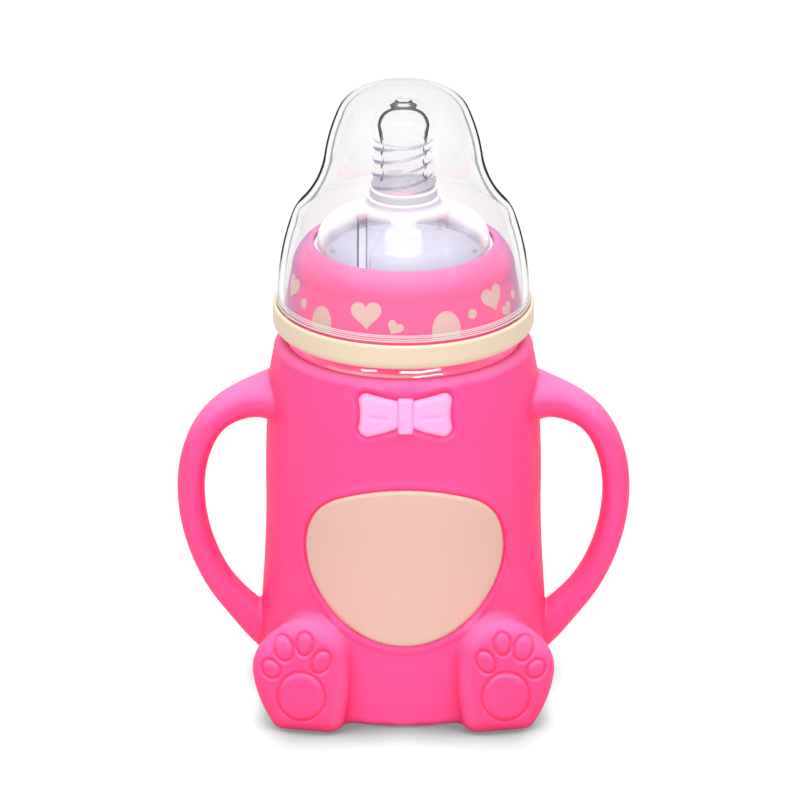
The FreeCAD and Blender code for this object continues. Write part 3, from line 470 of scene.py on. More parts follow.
def clear(name, tint, ior, rough, shadow, ripple, haze=0.0, haze_colour=(0.9, 0.9, 0.93)):
    """Clear wall: refracts for the camera, lets light through for shadows."""
    net = new_graph(name)
    waves = net.noise(scale=45.0, detail=2.0)
    fine = net.noise(scale=700.0, detail=2.0)
    faint = tuple(c * 0.99 for c in tint)
    shader = net.node("BsdfPrincipled", {
        "Base Color": net.mix(net.ramp(waves, span=(0.35, 0.65)), tint, faint),
        "Transmission Weight": 1.0,
        "IOR": ior,
        "Roughness": net.ramp(fine, span=(0.3, 0.7), to=(rough * 0.7, rough * 1.3)),
        "Normal": net.bump(waves, strength=ripple, distance=0.0004),
    }).outputs["BSDF"]
    if haze > 0:
        soft = net.node("BsdfTranslucent", {"Color": haze_colour}).outputs[0]
        milk = net.mix_shader(0.5, soft, net.diffuse(haze_colour))
        shader = net.mix_shader(haze, shader, milk)
    path = net.node("LightPath").outputs
    unseen = net.most(path["Is Shadow Ray"], path["Is Diffuse Ray"])
    through = net.node("BsdfTransparent", {"Color": (shadow,) * 3}).outputs[0]
    return net.finish(net.mix_shader(unseen, shader, through))


def pink_silicone():
    """Painted shade deepens the colour along the creases, on the soles and on
    faces that look down; painted highlights pale the faces that look up; the
    bore has a painted glow standing in for light coming through the thin silicone."""
    net = moulded("PinkSilicone", colour=(1.0, 0.078, 0.278), edge=(1.0, 0.036, 0.160),
                  rough=(0.46, 0.56), specular=0.12, variation=0.05, scatter=0.08,
                  scatter_radius=(1.0, 0.35, 0.5))
    # painted shade darkens the grooves and the joints where parts meet
    crease_shade = net.node("Attribute", attribute_name="crease_shade").outputs["Fac"]
    net.recolour(net.mul(crease_shade, 0.9), colour=(0.97, 0.42, 0.44), blend="MULTIPLY")
    x, y, z = net.xyz()
    normal = net.split(net.node("NewGeometry").outputs["Normal"])
    radius = net.radius(x, y)
    bore = net.mul(net.maths("LESS_THAN", radius, 0.0296), net.over(z, 0.0025))

    # painted shade: the soles are darker where they do not look up
    sole = net.mul(net.ramp(net.size(x), span=(0.012, 0.017)),
                   net.ramp(y, span=(-0.0345, -0.0375)))
    net.recolour(net.mul(sole, net.fall(normal[2], span=(0.40, 0.65))),
                 colour=(0.97, 0.78, 0.80), blend="MULTIPLY")

    # painted highlight: paler where the skin looks up, standing in for the top light, and a
    # painted highlight band on the feet where they look inward
    top = net.mul(net.ramp(normal[2], span=(0.25, 0.95), to=(0.0, 0.5)), net.inverse(bore),
                  net.ramp(z, span=(0.052, 0.062), to=(1.0, 1.6)))
    inward = net.mul(normal[0], net.mul(net.maths("SIGN", x), -1.0))
    band = net.mul(net.ramp(inward, span=(0.10, 0.38), to=(0.0, 0.12)),
                   net.fall(inward, span=(0.70, 0.95)))
    band = net.mul(band, net.mul(net.ramp(y, span=(-0.0350, -0.0375)),
                                 net.ramp(net.size(x), span=(0.011, 0.014))))
    net.recolour(net.most(top, band), colour=(1.0, 0.22, 0.50))

    # painted shade on faces that look down
    under_shade = net.ramp(normal[2], span=(-0.05, -0.75), to=(0.0, 0.8))
    net.recolour(net.mul(under_shade, net.inverse(bore)), colour=(1.0, 0.80, 0.74), blend="MULTIPLY")

    # painted highlight along the inner edge of the top rim, with a painted glow
    brim = net.mul(net.fall(radius, span=(0.0293, 0.0300)), net.ramp(z, span=(0.0914, 0.0918)))
    net.recolour(net.mul(brim, 0.8), colour=(1.0, 0.55, 0.66))
    # painted glow inside the bore standing in for light through the thin silicone
    inside = net.mul(bore, net.ramp(z, span=(0.060, 0.092), to=(0.45, 0.95)))
    net.glow(colour=(1.0, 0.13, 0.32), strength=net.plus(inside, net.mul(brim, 0.5)))
    return net.owner


def paint_top_highlight(net, colour, span, amount):
    """Painted highlight: faces that look up get a paler colour, standing in for the soft top
    light.
    """
    normal = net.split(net.node("NewGeometry").outputs["Normal"])
    net.recolour(net.ramp(normal[2], span, to=(0.0, amount)), colour)


def peach_silicone():
    net = moulded("PeachSilicone", colour=(0.675, 0.425, 0.347), edge=(0.655, 0.392, 0.308),
                  rough=(0.45, 0.53), specular=0.3, variation=0.02, scatter=0.05)
    # painted highlight on the faces that look up
    paint_top_highlight(net, colour=(0.82, 0.59, 0.515), span=(0.15, 0.55), amount=0.8)
    return net.owner


def collar_plastic():
    """Painted highlight pales the top; towards its sides a painted cool, mauve veil stands in for
    the haze of the clear dome in front.
    """
    net = moulded("CollarPlastic", colour=(0.97, 0.105, 0.285), edge=(0.97, 0.095, 0.25),
                  rough=(0.46, 0.54), specular=0.25, variation=0.02)
    paint_top_highlight(net, colour=(1.0, 0.25, 0.44), span=(0.25, 0.9), amount=0.55)
    # painted veil: the sides turn cool and mauve as if seen through the dome's haze
    net.recolour(net.ramp(net.facing(blend=0.5), span=(0.40, 0.78)),
                 colour=(0.50, 1.05, 1.18), blend="MULTIPLY")
    return net.owner


def white_plastic():
    """Painted light: the adapter's spigot glows as if it caught the light inside
    the mound, and its disc is painted darker as shade under the collar."""
    net = moulded("WhitePlastic", colour=(0.84, 0.84, 0.86), edge=(0.8, 0.8, 0.84),
                  rough=(0.3, 0.4), specular=0.5, variation=0.02)
    x, y, z = net.xyz()
    high = net.over(z, 0.1135)
    shaded_disc = net.mul(net.ramp(net.radius(x, y), span=(0.0048, 0.0052)), high)
    net.recolour(shaded_disc, colour=(0.80, 0.80, 0.95), blend="MULTIPLY")
    # painted glow on the spigot above the disc
    net.glow(colour=(1, 1, 1), strength=net.mul(net.minus(high, shaded_disc), 0.42))
    net.no_light()
    return net.owner


def dome_plastic():
    """Clear plastic seen edge-on: a painted dark outline with a bright band inside
    it, a painted faint grey veil across the wall and two painted highlight lines at the rim."""
    net = clear("DomePlastic", tint=(0.985, 0.987, 0.99), ior=1.30, rough=0.012,
                shadow=0.98, ripple=0.005)
    facing = net.facing(blend=0.5)
    # painted veil: the clear wall greys with the viewing angle
    painted_veil = net.node("ValToRGB", {0: facing})
    stops = painted_veil.color_ramp.elements
    stops[0].position, stops[0].color = 0.0, (0.995, 0.995, 0.995, 1)
    stops[1].position, stops[1].color = 1.0, (1, 1, 1, 1)
    for position, grey in ((0.2, 0.950), (0.5, 0.915), (0.66, 0.935), (0.74, 0.98)):
        stops.new(position).color = (grey, grey, grey, 1)
    net.feed(net.find("BsdfPrincipled").inputs["Base Color"], painted_veil.outputs[0])

    z = net.xyz()[2]
    # painted highlight: two bright lines at the rim
    line = net.most(*(net.ramp(net.away(z, centre), span=(0.00008, 0.0002), to=(0.85, 0.0))
                      for centre in (0.1048, 0.1037)))
    outside = net.inverse(net.node("NewGeometry").outputs["Backfacing"])
    grazing = net.plus(facing, net.ramp(z, span=(0.128, 0.140), to=(0.0, 0.055)))
    x, y, _ = net.xyz()
    # painted dark outline where the wall is seen edge-on
    rim = net.mul(net.ramp(grazing, span=(0.820, 0.855), to=(0.0, 0.98)), outside,
                  net.ramp(z, span=(0.1105, 0.1160), to=(0.25, 1.0)),
                  net.ramp(net.radius(x, y), span=(0.0125, 0.0160), to=(0.12, 1.0)))
    net.layer(rim, net.diffuse((0.01, 0.01, 0.012)))
    net.layer(line, net.emission((1, 0.97, 0.97), strength=0.95))
    net.no_light()
    return net.owner


def bottle_glass():
    """Painted reflections: bright and warm streaks glow where the shoulder of the
    glass would mirror the room and the cream ring above it."""
    net = clear("BottleGlass", tint=(0.98, 0.992, 0.988), ior=1.50, rough=0.004,
                shadow=0.95, ripple=0.01)
    x, y, z = net.xyz()
    across = net.facing_x(x, y)
    outside = net.inverse(net.node("NewGeometry").outputs["Backfacing"])
    skin = net.mul(outside, net.over(net.radius(x, y), 0.0268))
    wander = net.mul(net.minus(net.noise(scale=180.0, detail=2.0), 0.5), 0.0009)
    height = net.plus(z, wander)

    def streak(level, half, centre, reach):
        return net.mul(net.fall(net.away(height, level), span=(half * 0.6, half)),
                       net.fall(net.away(across, centre), span=(reach * 0.8, reach)))

    # painted highlight streaks on the shoulder
    white = net.most(streak(level=0.0940, half=0.00030, centre=-0.0088, reach=0.0022),
                     streak(level=0.0940, half=0.00034, centre=0.0043, reach=0.0056))
    white = net.most(white, streak(level=0.0929, half=0.00022, centre=0.0062, reach=0.0042))
    # painted warm reflection of the cream ring
    warm_reflection = streak(level=0.0929, half=0.00055, centre=-0.0068, reach=0.0135)
    net.layer(net.mul(warm_reflection, 0.6, skin), net.emission((0.88, 0.46, 0.42), strength=1.0))
    net.layer(net.mul(white, 0.92, skin), net.emission((1, 0.98, 0.98), strength=1.1))
    net.no_light()
    return net.owner


def teat_outside():
    """Painted light and shade on the clear teat: lilac strokes of painted shade
    under the stem's ribs, a root painted paler where it looks up, a painted milky
    sheen on the shoulder and two painted dark marks of shade in the dimple at the tip."""
    net = clear("TeatSilicone", tint=(0.992, 0.99, 0.995), ior=1.06, rough=0.02,
                shadow=0.9, ripple=0.02, haze=0.04, haze_colour=(0.9, 0.88, 0.93))
    x, y, z = net.xyz()
    geometry = net.node("NewGeometry").outputs
    up = net.split(geometry["True Normal"])[2]
    front = net.inverse(geometry["Backfacing"])

    # painted milky sheen where the shoulder is seen at a slant
    shoulder = net.mul(net.ramp(z, span=(0.1165, 0.1175)), net.fall(z, span=(0.1280, 0.1292)),
                       net.ramp(net.facing(blend=0.5), span=(0.42, 0.66), to=(0.0, 0.88)), front)
    net.layer(shoulder, net.diffuse((0.90, 0.88, 0.92)))

    # painted light and shade on the root: paler facing up, lilac facing down
    root = net.mul(net.ramp(z, span=(0.1280, 0.1296), to=(0.0, 0.80)),
                   net.fall(z, span=(0.1343, 0.1354)))
    pale = net.mix(net.ramp(up, span=(0.2, 0.8)), (0.58, 0.54, 0.62), (0.86, 0.84, 0.88))
    net.layer(root, net.diffuse(pale))

    stem = net.mul(net.ramp(z, span=(0.1295, 0.1320)), net.fall(z, span=(0.1475, 0.1480)))
    # painted lilac shade under the stem's ribs
    under_shade = net.fall(up, span=(-0.30, -0.08))
    flank = net.ramp(net.size(x), span=(0.0010, 0.0060), to=(0.28, 0.92))
    lilac = net.mix(net.noise(scale=260.0, detail=2.0), (0.22, 0.22, 0.36), (0.50, 0.44, 0.56))
    net.layer(net.mul(net.mul(stem, under_shade), net.mul(flank, front)), net.diffuse(lilac))

    radius = net.radius(x, y)
    sideways = net.maths("DIVIDE", net.size(x), net.plus(radius, 0.00001))
    # painted shade: two dark marks in the dimple
    dimple = net.mul(net.ramp(z, span=(0.15595, 0.15610)), net.fall(radius, span=(0.0021, 0.0023)),
                     net.fall(up, span=(0.93, 0.97)), net.ramp(sideways, span=(0.80, 0.88)))
    net.layer(dimple, net.diffuse((0.012, 0.012, 0.018)))
    return net.owner


def teat_inside():
    """The hollow in the clear silicone gets a painted dark outline where it is seen
    edge-on; down the stem the ribs break it into dashes.  The mound is hazy, its
    haze painted darker at a slant, with one clear vent rib between two painted dark lines."""
    net = clear("TeatSiliconeInside", tint=(0.985, 0.98, 0.99), ior=1.06, rough=0.02,
                shadow=0.9, ripple=0.02, haze=0.24, haze_colour=(0.60, 0.575, 0.66))
    facing = net.facing(blend=0.5)
    x, y, z = net.xyz()
    wave = net.maths("COSINE", net.mul(z, TAU / (STEM_PITCH * MM)))
    dashes = net.mul(net.ramp(wave, span=(0.15, 0.35), to=(0.0, 0.85)),
                     net.ramp(z, span=(0.1345, 0.1360)))
    bulb = net.ramp(z, span=(0.1474, 0.1479))
    # painted dark outline of the hollow seen edge-on
    outline = net.mul(net.ramp(facing, span=(0.60, 0.68)), net.most(dashes, bulb))

    across = net.facing_x(x, y)
    low = net.fall(z, span=(0.1276, 0.1287))

    def upright(left, span, strength=1.0):
        """A vertical band a distance left of the middle."""
        offset = net.size(net.plus(across, left))
        return net.mul(net.ramp(offset, span, to=(strength, 0.0)), low)

    strip = upright(left=0.01035, span=(0.00075, 0.00095))
    # painted dark lines along the vent rib's sides
    dark_left = upright(left=0.01145, span=(0.00016, 0.00030))
    dark_right = upright(left=0.00930, span=(0.00010, 0.00024), strength=0.6)
    outline = net.most(outline, net.most(net.mul(dark_left, 0.8), dark_right))

    haze = net.mul(net.ramp(z, span=(0.1315, 0.1350), to=(0.46, 0.03)),
                   net.inverse(net.mul(strip, 0.8)))
    # painted shade: the haze darkens where the wall is seen at a slant
    tone = net.mix(net.ramp(facing, span=(0.35, 0.85)), (0.60, 0.57, 0.65), (0.40, 0.39, 0.50))
    tone = net.mix(net.ramp(z, span=(0.1280, 0.1297), to=(0.0, 0.8)), tone, (0.86, 0.82, 0.86))
    net.feed(net.visible().links[0].from_node.inputs[0], haze)
    for kind in ("BsdfTranslucent", "BsdfDiffuse"):
        net.feed(net.find(kind).inputs["Color"], tone)
    net.layer(outline, net.diffuse((0.001, 0.001, 0.004)))
    return net.owner


def turned_steel():
    """Steel with fine turning lines around the axis."""
    net = new_graph("TurnedSteel")
    lines = net.node("TexNoise", {"Scale": 9000.0, "W": net.xyz()[2]},
                     noise_dimensions="1D").outputs["Fac"]
    net.finish(net.node("BsdfPrincipled", {
        "Base Color": net.mix(net.ramp(lines, span=(0.3, 0.7)),
                              (0.62, 0.62, 0.64), (0.74, 0.74, 0.75)),
        "Metallic": 1.0,
        "Roughness": net.ramp(lines, span=(0.3, 0.7), to=(0.2, 0.38)),
        "Normal": net.bump(lines, strength=0.15, distance=0.00003),
    }).outputs["BSDF"])
    return net.owner


PINK = pink_silicone()
PEACH = peach_silicone()
BOW = moulded("BowSilicone", colour=(0.80, 0.365, 0.645), edge=(0.80, 0.33, 0.58),
              rough=(0.40, 0.50), specular=0.3, variation=0.02, scatter=0.05).owner
COLLAR = collar_plastic()
PRINT = moulded("CollarPrint", colour=(0.67, 0.42, 0.38), edge=(0.67, 0.40, 0.35),
                rough=(0.42, 0.5), specular=0.3, variation=0.03).owner
CREAM = moulded("CreamPlastic", colour=(0.70, 0.565, 0.41), edge=(0.70, 0.55, 0.38),
                rough=(0.34, 0.42), specular=0.3, variation=0.015, scatter=0.04).owner
WHITE = white_plastic()
TICKS = moulded("MeasureTicks", colour=(0.55, 0.56, 0.58), edge=(0.5, 0.5, 0.52),
                rough=(0.4, 0.5), specular=0.3, variation=0.04).owner
DOME = dome_plastic()
GLASS = bottle_glass()
TEAT = teat_outside()
TEAT_INSIDE = teat_inside()
STRAW = clear("StrawSilicone", tint=(0.985, 0.985, 0.99), ior=1.12, rough=0.05,
              shadow=0.9, ripple=0.03, haze=0.10).owner
STEEL = turned_steel()


def paint(ob, material):
    ob.data.materials.clear()
    ob.data.materials.append(material)


def dress(ob, material, body, *nodes, slot):
    """Give a piece its material and the body and CAD nodes it is for; slot is not used."""
    paint(ob, material)
    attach(ob, body)
    if nodes:
        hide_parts(*nodes)


# ---------------------------------------------------------------------------
# Silicone sleeve: one distance field for the body, the handles and the feet,
# cut by the bore and the inlays' recesses, turned into a mesh that is refined
# where the fine grooves run.
# ---------------------------------------------------------------------------
BORE_R, BORE_FLOOR, BORE_FILLET = 29.08, 3.0, 4.0

SLEEVE_PROFILE = chain([
    (0, 0), (36.5, 0, 1.0, 1), (37.3, 0.95, 900.0, 1), (35.75, 32.0, 330.0, -1),
    (35.25, 50.0, 330.0, 1), (34.85, 74.0, 62.0, 1), (33.25, 89.6, 3.0, 1),
    (31.1, 92.8, 2.6, 1), (28.08, 91.7), (20.0, 91.7), (0, 91.7)], 0.4)
body_field = distance_table(
    np.concatenate([SLEEVE_PROFILE, SLEEVE_PROFILE[::-1] * [-1, 1]]), (0, 66), (-12, 106), 0.25)
is_wall = ((SLEEVE_PROFILE[:, 0] > 33.0) & (SLEEVE_PROFILE[:, 1] > 2.9)
           & (SLEEVE_PROFILE[:, 1] < 90.6))
wall_z = np.linspace(3, 90.5, 400)
wall_r = np.interp(wall_z, SLEEVE_PROFILE[is_wall, 1], SLEEVE_PROFILE[is_wall, 0])

# Centre line of a handle: x, z, half thickness in the loop's plane, half width in y
HANDLE = np.array([
    (31.0, 77.2, 6.9, 15.0), (36.2, 76.9, 5.25, 9.6), (41.7, 75.3, 4.4, 6.7),
    (47.9, 71.3, 3.75, 5.9), (52.4, 64.0, 3.58, 5.6), (54.5, 54.0, 3.52, 5.5),
    (53.8, 43.5, 3.5, 5.5), (50.8, 33.3, 3.5, 5.5), (46.3, 25.0, 3.65, 5.6),
    (40.8, 18.5, 4.1, 6.0), (36.0, 13.9, 4.9, 6.5), (31.8, 10.9, 5.6, 7.0)])

# Sole outline (across, up) in the foot's own frame
SOLE = chain([
    (5.0, 0, 3.72, 1), (7.85, 1.33, 28.96, 1), (14.3, 14.6, 10.6, 1),
    (12.9, 21.6, 19.0, 1), (4.07, 28.69, 11.0, 1), (-10.66, 19.82, 47.67, 1),
    (-10.3, 4.4, 4.55, 1), (-5.8, 0)], 0.4)
sole_field = distance_table(SOLE, (-20, 22), (-10, 40), 0.2)
FOOT_BASE = np.array([26.2, -42.4, 0.4])
FOOT_TILT, FOOT_YAW = math.radians(-15.0), math.radians(12.0)
FOOT_EDGE_R = 4.4
# Ovals on the sole: centre across, centre up, half height, half width, lean in degrees
PADS = [(0.5, 9.6, 6.2, 6.2, 0.0), (-4.2, 18.85, 3.1, 2.2, 27.0), (0.35, 23.1, 2.9, 2.13, 0.0),
        (5.85, 21.65, 3.38, 2.54, -25.0), (8.8, 16.1, 2.72, 2.2, -55.0)]
GROOVE_WIDTH = 0.42     # of the line around each oval

# Inlay outlines (x, z) seen from the front
BELLY = chain([
    (0, 63.8, 38.63, -1), (16.21, 60.23, 14.83, -1), (24.45, 50.06, 20.36, -1),
    (23.03, 36.92, 25.38, -1), (0, 22.3, 25.38, -1), (-23.03, 36.92, 20.36, -1),
    (-24.45, 50.06, 14.83, -1), (-16.21, 60.23, 38.63, -1)], 0.6) * [1.026, 1.027] + [0.3, -1.1]
belly_field = distance_table(BELLY, (-36, 36), (12, 74), 0.2)
BOW_OUTLINE = chain([
    (1.9, 80.75), (9.3, 78.35, 2.15, 1), (11.95, 80.6, 15.0, -1), (11.9, 87.2, 2.15, 1),
    (9.3, 89.4), (1.9, 87.95), (-1.9, 87.95),
    (-9.3, 89.4, 2.15, 1), (-11.9, 87.2, 15.0, -1), (-11.95, 80.6, 2.15, 1),
    (-9.3, 78.35), (-1.9, 80.75)], 0.3) + [0.45, 0]
bow_field = distance_table(BOW_OUTLINE, (-20, 20), (70, 98), 0.15)


def wall_radius(z):
    return np.interp(z, wall_z, wall_r)


def spline(points, count):
    """Natural cubic through the points, by chord length of the first two columns."""
    lengths = np.linalg.norm(np.diff(points[:, :2], axis=0), axis=1)
    knots = np.concatenate([[0], np.cumsum(lengths)])
    total = len(points)
    gap = np.diff(knots)
    system = np.zeros((total, total))
    rhs = np.zeros((total, points.shape[1]))
    system[0, 0] = system[-1, -1] = 1
    for i in range(1, total - 1):
        system[i, i - 1:i + 2] = gap[i - 1], 2 * (gap[i - 1] + gap[i]), gap[i]
        rhs[i] = 6 * ((points[i + 1] - points[i]) / gap[i]
                      - (points[i] - points[i - 1]) / gap[i - 1])
    curve = np.linalg.solve(system, rhs)
    place = np.linspace(0, knots[-1], count)
    k = np.clip(np.searchsorted(knots, place) - 1, 0, total - 2)
    before, after = (knots[k + 1] - place)[:, None], (place - knots[k])[:, None]
    width = gap[k][:, None]
    return ((curve[k] * before ** 3 + curve[k + 1] * after ** 3) / (6 * width)
            + (points[k] / width - curve[k] * width / 6) * before
            + (points[k + 1] / width - curve[k + 1] * width / 6) * after)


loop = spline(HANDLE, 260)
loop_dir = np.gradient(loop[:, :2], axis=0)
loop_dir /= np.linalg.norm(loop_dir, axis=1)[:, None]


def handle_field(x, y, z):
    """Distance to the +x handle, 30 far away from it."""
    out = np.full(x.shape, 30.0)
    near = (x > 24) & (x < 68) & (np.abs(y) < 16) & (z < 92)
    near_x, near_y, near_z = x[near], y[near], z[near]
    result = np.empty(len(near_x))
    for first in range(0, len(near_x), BATCH):
        part = slice(first, first + BATCH)
        px, pz = near_x[part], near_z[part]
        k = ((px[:, None] - loop[None, :, 0]) ** 2
             + (pz[:, None] - loop[None, :, 1]) ** 2).argmin(1)
        dx, dz = px - loop[k, 0], pz - loop[k, 1]
        along = dx * loop_dir[k, 0] + dz * loop_dir[k, 1]
        aside = np.abs(-dx * loop_dir[k, 1] + dz * loop_dir[k, 0])
        step = np.clip(along / 0.5, -1, 1) * 0.5
        other = np.clip(k + np.sign(step).astype(int), 0, len(loop) - 1)
        share = np.abs(step)
        thick = loop[k, 2] * (1 - share) + loop[other, 2] * share
        wide = loop[k, 3] * (1 - share) + loop[other, 3] * share
        end = (k == 0) | (k == len(loop) - 1)
        aside = np.where(end, np.sqrt(dx ** 2 + dz ** 2), aside)
        result[part] = ellipse_distance(aside, near_y[part], thick, wide,
                                        core=0.1, depth=thick * 0.9)
    out[near] = result
    return out


yaw_cos, yaw_sin = math.cos(FOOT_YAW), math.sin(FOOT_YAW)
tilt_cos, tilt_sin = math.cos(FOOT_TILT), math.sin(FOOT_TILT)
FOOT_TURN = (np.array([[yaw_cos, -yaw_sin, 0], [yaw_sin, yaw_cos, 0], [0, 0, 1]])
             @ np.array([[1, 0, 0], [0, tilt_cos, -tilt_sin], [0, tilt_sin, tilt_cos]]))


def foot_local(x, y, z):
    """Across, behind and up from the sole, in the +x foot's frame."""
    local = np.stack([x - FOOT_BASE[0], y - FOOT_BASE[1], z - FOOT_BASE[2]], -1) @ FOOT_TURN
    return local[..., 0], local[..., 1], local[..., 2]


def foot_field(x, y, z, fine):
    across, behind, up = foot_local(x, y, z)
    rim = sole_field(across, up)
    crown = 0.9 * ease(-rim, 0.0, 9.0)
    depth = behind + crown - 0.3
    if fine:
        near = (np.abs(depth) < 4) & (rim < 1)
        pads = np.zeros(near.sum())
        for pad in PADS:
            oval = oval_distance(across[near], up[near], pad)
            pads += 0.46 * bell(oval, GROOVE_WIDTH) - 0.20 * ease(-oval, 0.15, 1.6)
        relief = np.zeros_like(depth)
        relief[near] = pads
        depth = depth - relief
    foot = rounded_corner(rim + FOOT_EDGE_R, -depth + FOOT_EDGE_R, FOOT_EDGE_R)
    return soft_max(foot, behind - 21.0, 3.0)


def foot_near(x, y, z, fine):
    """foot_field where a foot can be, 30 elsewhere."""
    near = (y < 4) & (z < 46)
    foot = np.full(len(x), 30.0)
    foot[near] = foot_field(x[near], y[near], z[near], fine)
    return foot


def carve_inlays(field, x, z, radius):
    """Raised lips and recesses for the belly patch and the bow."""
    belly = belly_field(x, z)
    field = field - 0.34 * bell(belly - 1.15, 0.85) * (belly > -1.5)
    cut = np.maximum(belly + 0.16, (wall_radius(z) - 1.3) - radius)
    field = soft_max(field, -cut, 0.45)
    bow = bow_field(x, z)
    field = field + 0.42 * ease(-bow, -1.15, -0.25)
    field = field - 0.20 * bell(bow - 1.75, 0.6)
    cut = np.maximum(bow + 0.03, (wall_radius(z) - 1.25) - radius)
    return soft_max(field, -cut, 0.3)


def sleeve_field(points, fine):
    x, y, z = points[:, 0], points[:, 1], points[:, 2]
    side_x, radius = np.abs(x), np.hypot(x, y)
    field = soft_min(body_field(radius, z), handle_field(side_x, y, z), 0.7)
    field = soft_min(field, foot_near(side_x, y, z, fine), 2.8)
    field = soft_max(field, -z, 1.0)
    if fine:
        front = (y < -15) & (radius > 30)
        field[front] = carve_inlays(field[front], x[front], z[front], radius[front])
    bore = rounded_corner(radius - (BORE_R - BORE_FILLET), (BORE_FLOOR + BORE_FILLET) - z,
                          BORE_FILLET)
    return soft_max(field, -bore, 0.7)


def coarse_field(points):
    return sleeve_field(points, False)


def fine_field(points):
    return sleeve_field(points, True)


def crease_shade_at(points):
    """Painted shade mask: 0 on open skin, up to 1 along the grooves and where parts meet."""
    x, y, z = points[:, 0], points[:, 1], points[:, 2]
    side_x, radius = np.abs(x), np.hypot(x, y)
    out = np.zeros(len(x))
    near = (y < -20) & (z < 36) & (side_x > 8)
    across, behind, up = foot_local(side_x[near], y[near], z[near])
    groove = np.zeros(len(across))
    for pad in PADS:
        oval = oval_distance(across, up, pad)
        groove = np.maximum(groove, bell(oval, GROOVE_WIDTH) * (np.abs(behind) < 2.5))
    out[near] = groove

    body = body_field(radius, z)
    foot = foot_near(side_x, y, z, False)
    handle = handle_field(side_x, y, z)
    for part, depth, width in ((foot, 0.8, 1.3), (handle, 0.7, 0.7)):
        joint = np.maximum(np.abs(part), np.abs(body))
        out = np.maximum(out, depth * bell(joint, width) * (part < 5) * (radius > 32))
    front = (y < -15) & (radius > 30)
    for inlay, offset, depth, width in ((belly_field, 0.1, 0.9, 0.35), (bow_field, 0.3, 0.6, 0.5)):
        line = depth * bell(inlay(x[front], z[front]) - offset, width)
        out[front] = np.maximum(out[front], line)
    return out


def gradient(field, points, reach=0.04):
    """Slope and mean of a field from four samples around each point."""
    corners = np.array([[1, -1, -1], [-1, -1, 1], [-1, 1, -1], [1, 1, 1]], float)
    slope = np.zeros_like(points)
    mean = np.zeros(len(points))
    for corner in corners:
        value = field(points + corner * reach)
        slope += corner * value[:, None]
        mean += value / 4
    return slope / (4 * reach), mean


def project(field, points, rounds, limit=0.6):
    """Move points onto the field's surface."""
    for _ in range(rounds):
        slope, value = gradient(field, points)
        slope_sq = (slope ** 2).sum(1) + 1e-6
        move = -(value / slope_sq)[:, None] * slope
        length = np.linalg.norm(move, axis=1)
        move *= np.minimum(1, limit / (length + 1e-9))[:, None]
        points = points + move
    return points


def detail_areas(points):
    """Masks of the finest areas and of all areas that are refined."""
    x, y, z = points[:, 0], points[:, 1], points[:, 2]
    side_x, radius = np.abs(x), np.hypot(x, y)
    across, behind, up = foot_local(side_x, y, z)
    rim_distance = sole_field(across, up)
    sole = (np.abs(behind) < 2.2) & (rim_distance < -0.6) & (z < 40)
    edge = (np.abs(behind) < 7) & (np.abs(rim_distance) < 4) & (z < 40) & (y < -15)
    front = (y < -15) & (radius > 32.3)
    belly = front & (np.abs(belly_field(x, z)) < 3.0)
    bow = front & (bow_field(x, z) < 3.0)
    brim = z > 89.5
    root = (np.abs(handle_field(side_x, y, z) - body_field(radius, z)) < 2.5) & (radius > 30)
    finest = sole | belly | bow
    return finest, finest | edge | brim | root


def sleeve_surface():
    """Coarse sleeve as points and quads, from a regular grid."""
    step = 1.15
    low, high = np.array([-62.5, -47.5, -3.0]), np.array([62.5, 40.5, 96.5])
    counts = np.ceil((high - low) / step).astype(int) + 1
    grid_x, grid_y, grid_z = [low[k] + np.arange(counts[k]) * step for k in range(3)]
    volume = np.empty(counts, np.float32)
    for i, x in enumerate(grid_x):
        y, z = np.meshgrid(grid_y, grid_z, indexing="ij")
        points = np.stack([np.full(y.size, x), y.ravel(), z.ravel()], 1)
        volume[i] = coarse_field(points).reshape(y.shape)
    grid = openvdb.FloatGrid(background=float(3 * step))
    grid.copyFromArray(np.clip(volume, -3 * step, 3 * step))
    points, quads = grid.convertToQuads(isovalue=0.0)
    return project(coarse_field, low + points.astype(float) * step, 3), quads.tolist()


def vertex_places(bm):
    return np.array([v.co[:] for v in bm.verts])


def build_sleeve():
    points, quads = sleeve_surface()
    mesh = bpy.data.meshes.new("sleeve_work")
    mesh.from_pydata([tuple(p) for p in points], [], quads)
    bm = bmesh.new()
    bm.from_mesh(mesh)
    bpy.data.meshes.remove(mesh)
    bm.verts.ensure_lookup_table()

    levels = 2
    for level in range(levels):
        finest, refined = detail_areas(vertex_places(bm))
        mask = refined if level == 0 else finest
        edges = [e for e in bm.edges if mask[e.verts[0].index] and mask[e.verts[1].index]]
        bmesh.ops.subdivide_edges(bm, edges=edges, cuts=1, use_grid_fill=True)
        bm.verts.ensure_lookup_table()
        bm.verts.index_update()
        last = level == levels - 1
        places = project(fine_field if last else coarse_field, vertex_places(bm), 4 if last else 2)
        for vertex, place in zip(bm.verts, places):
            vertex.co = place * (MM if last else 1.0)

    mesh = bpy.data.meshes.new("silicone_sleeve_skin")
    bmesh.ops.recalc_face_normals(bm, faces=bm.faces)
    bm.to_mesh(mesh)
    bm.free()
    mesh.polygons.foreach_set("use_smooth", [True] * len(mesh.polygons))
    # mask of the painted crease shade, read by the pink material
    crease_shade = mesh.attributes.new("crease_shade", "FLOAT", "POINT")
    crease_shade.data.foreach_set("value", crease_shade_at(places).astype(np.float32))
    mesh.update()
    return link_object("silicone_sleeve_skin", mesh)


dress(build_sleeve(), PINK, "sleeve", "silicone_sleeve", slot="sleeve_silicone")


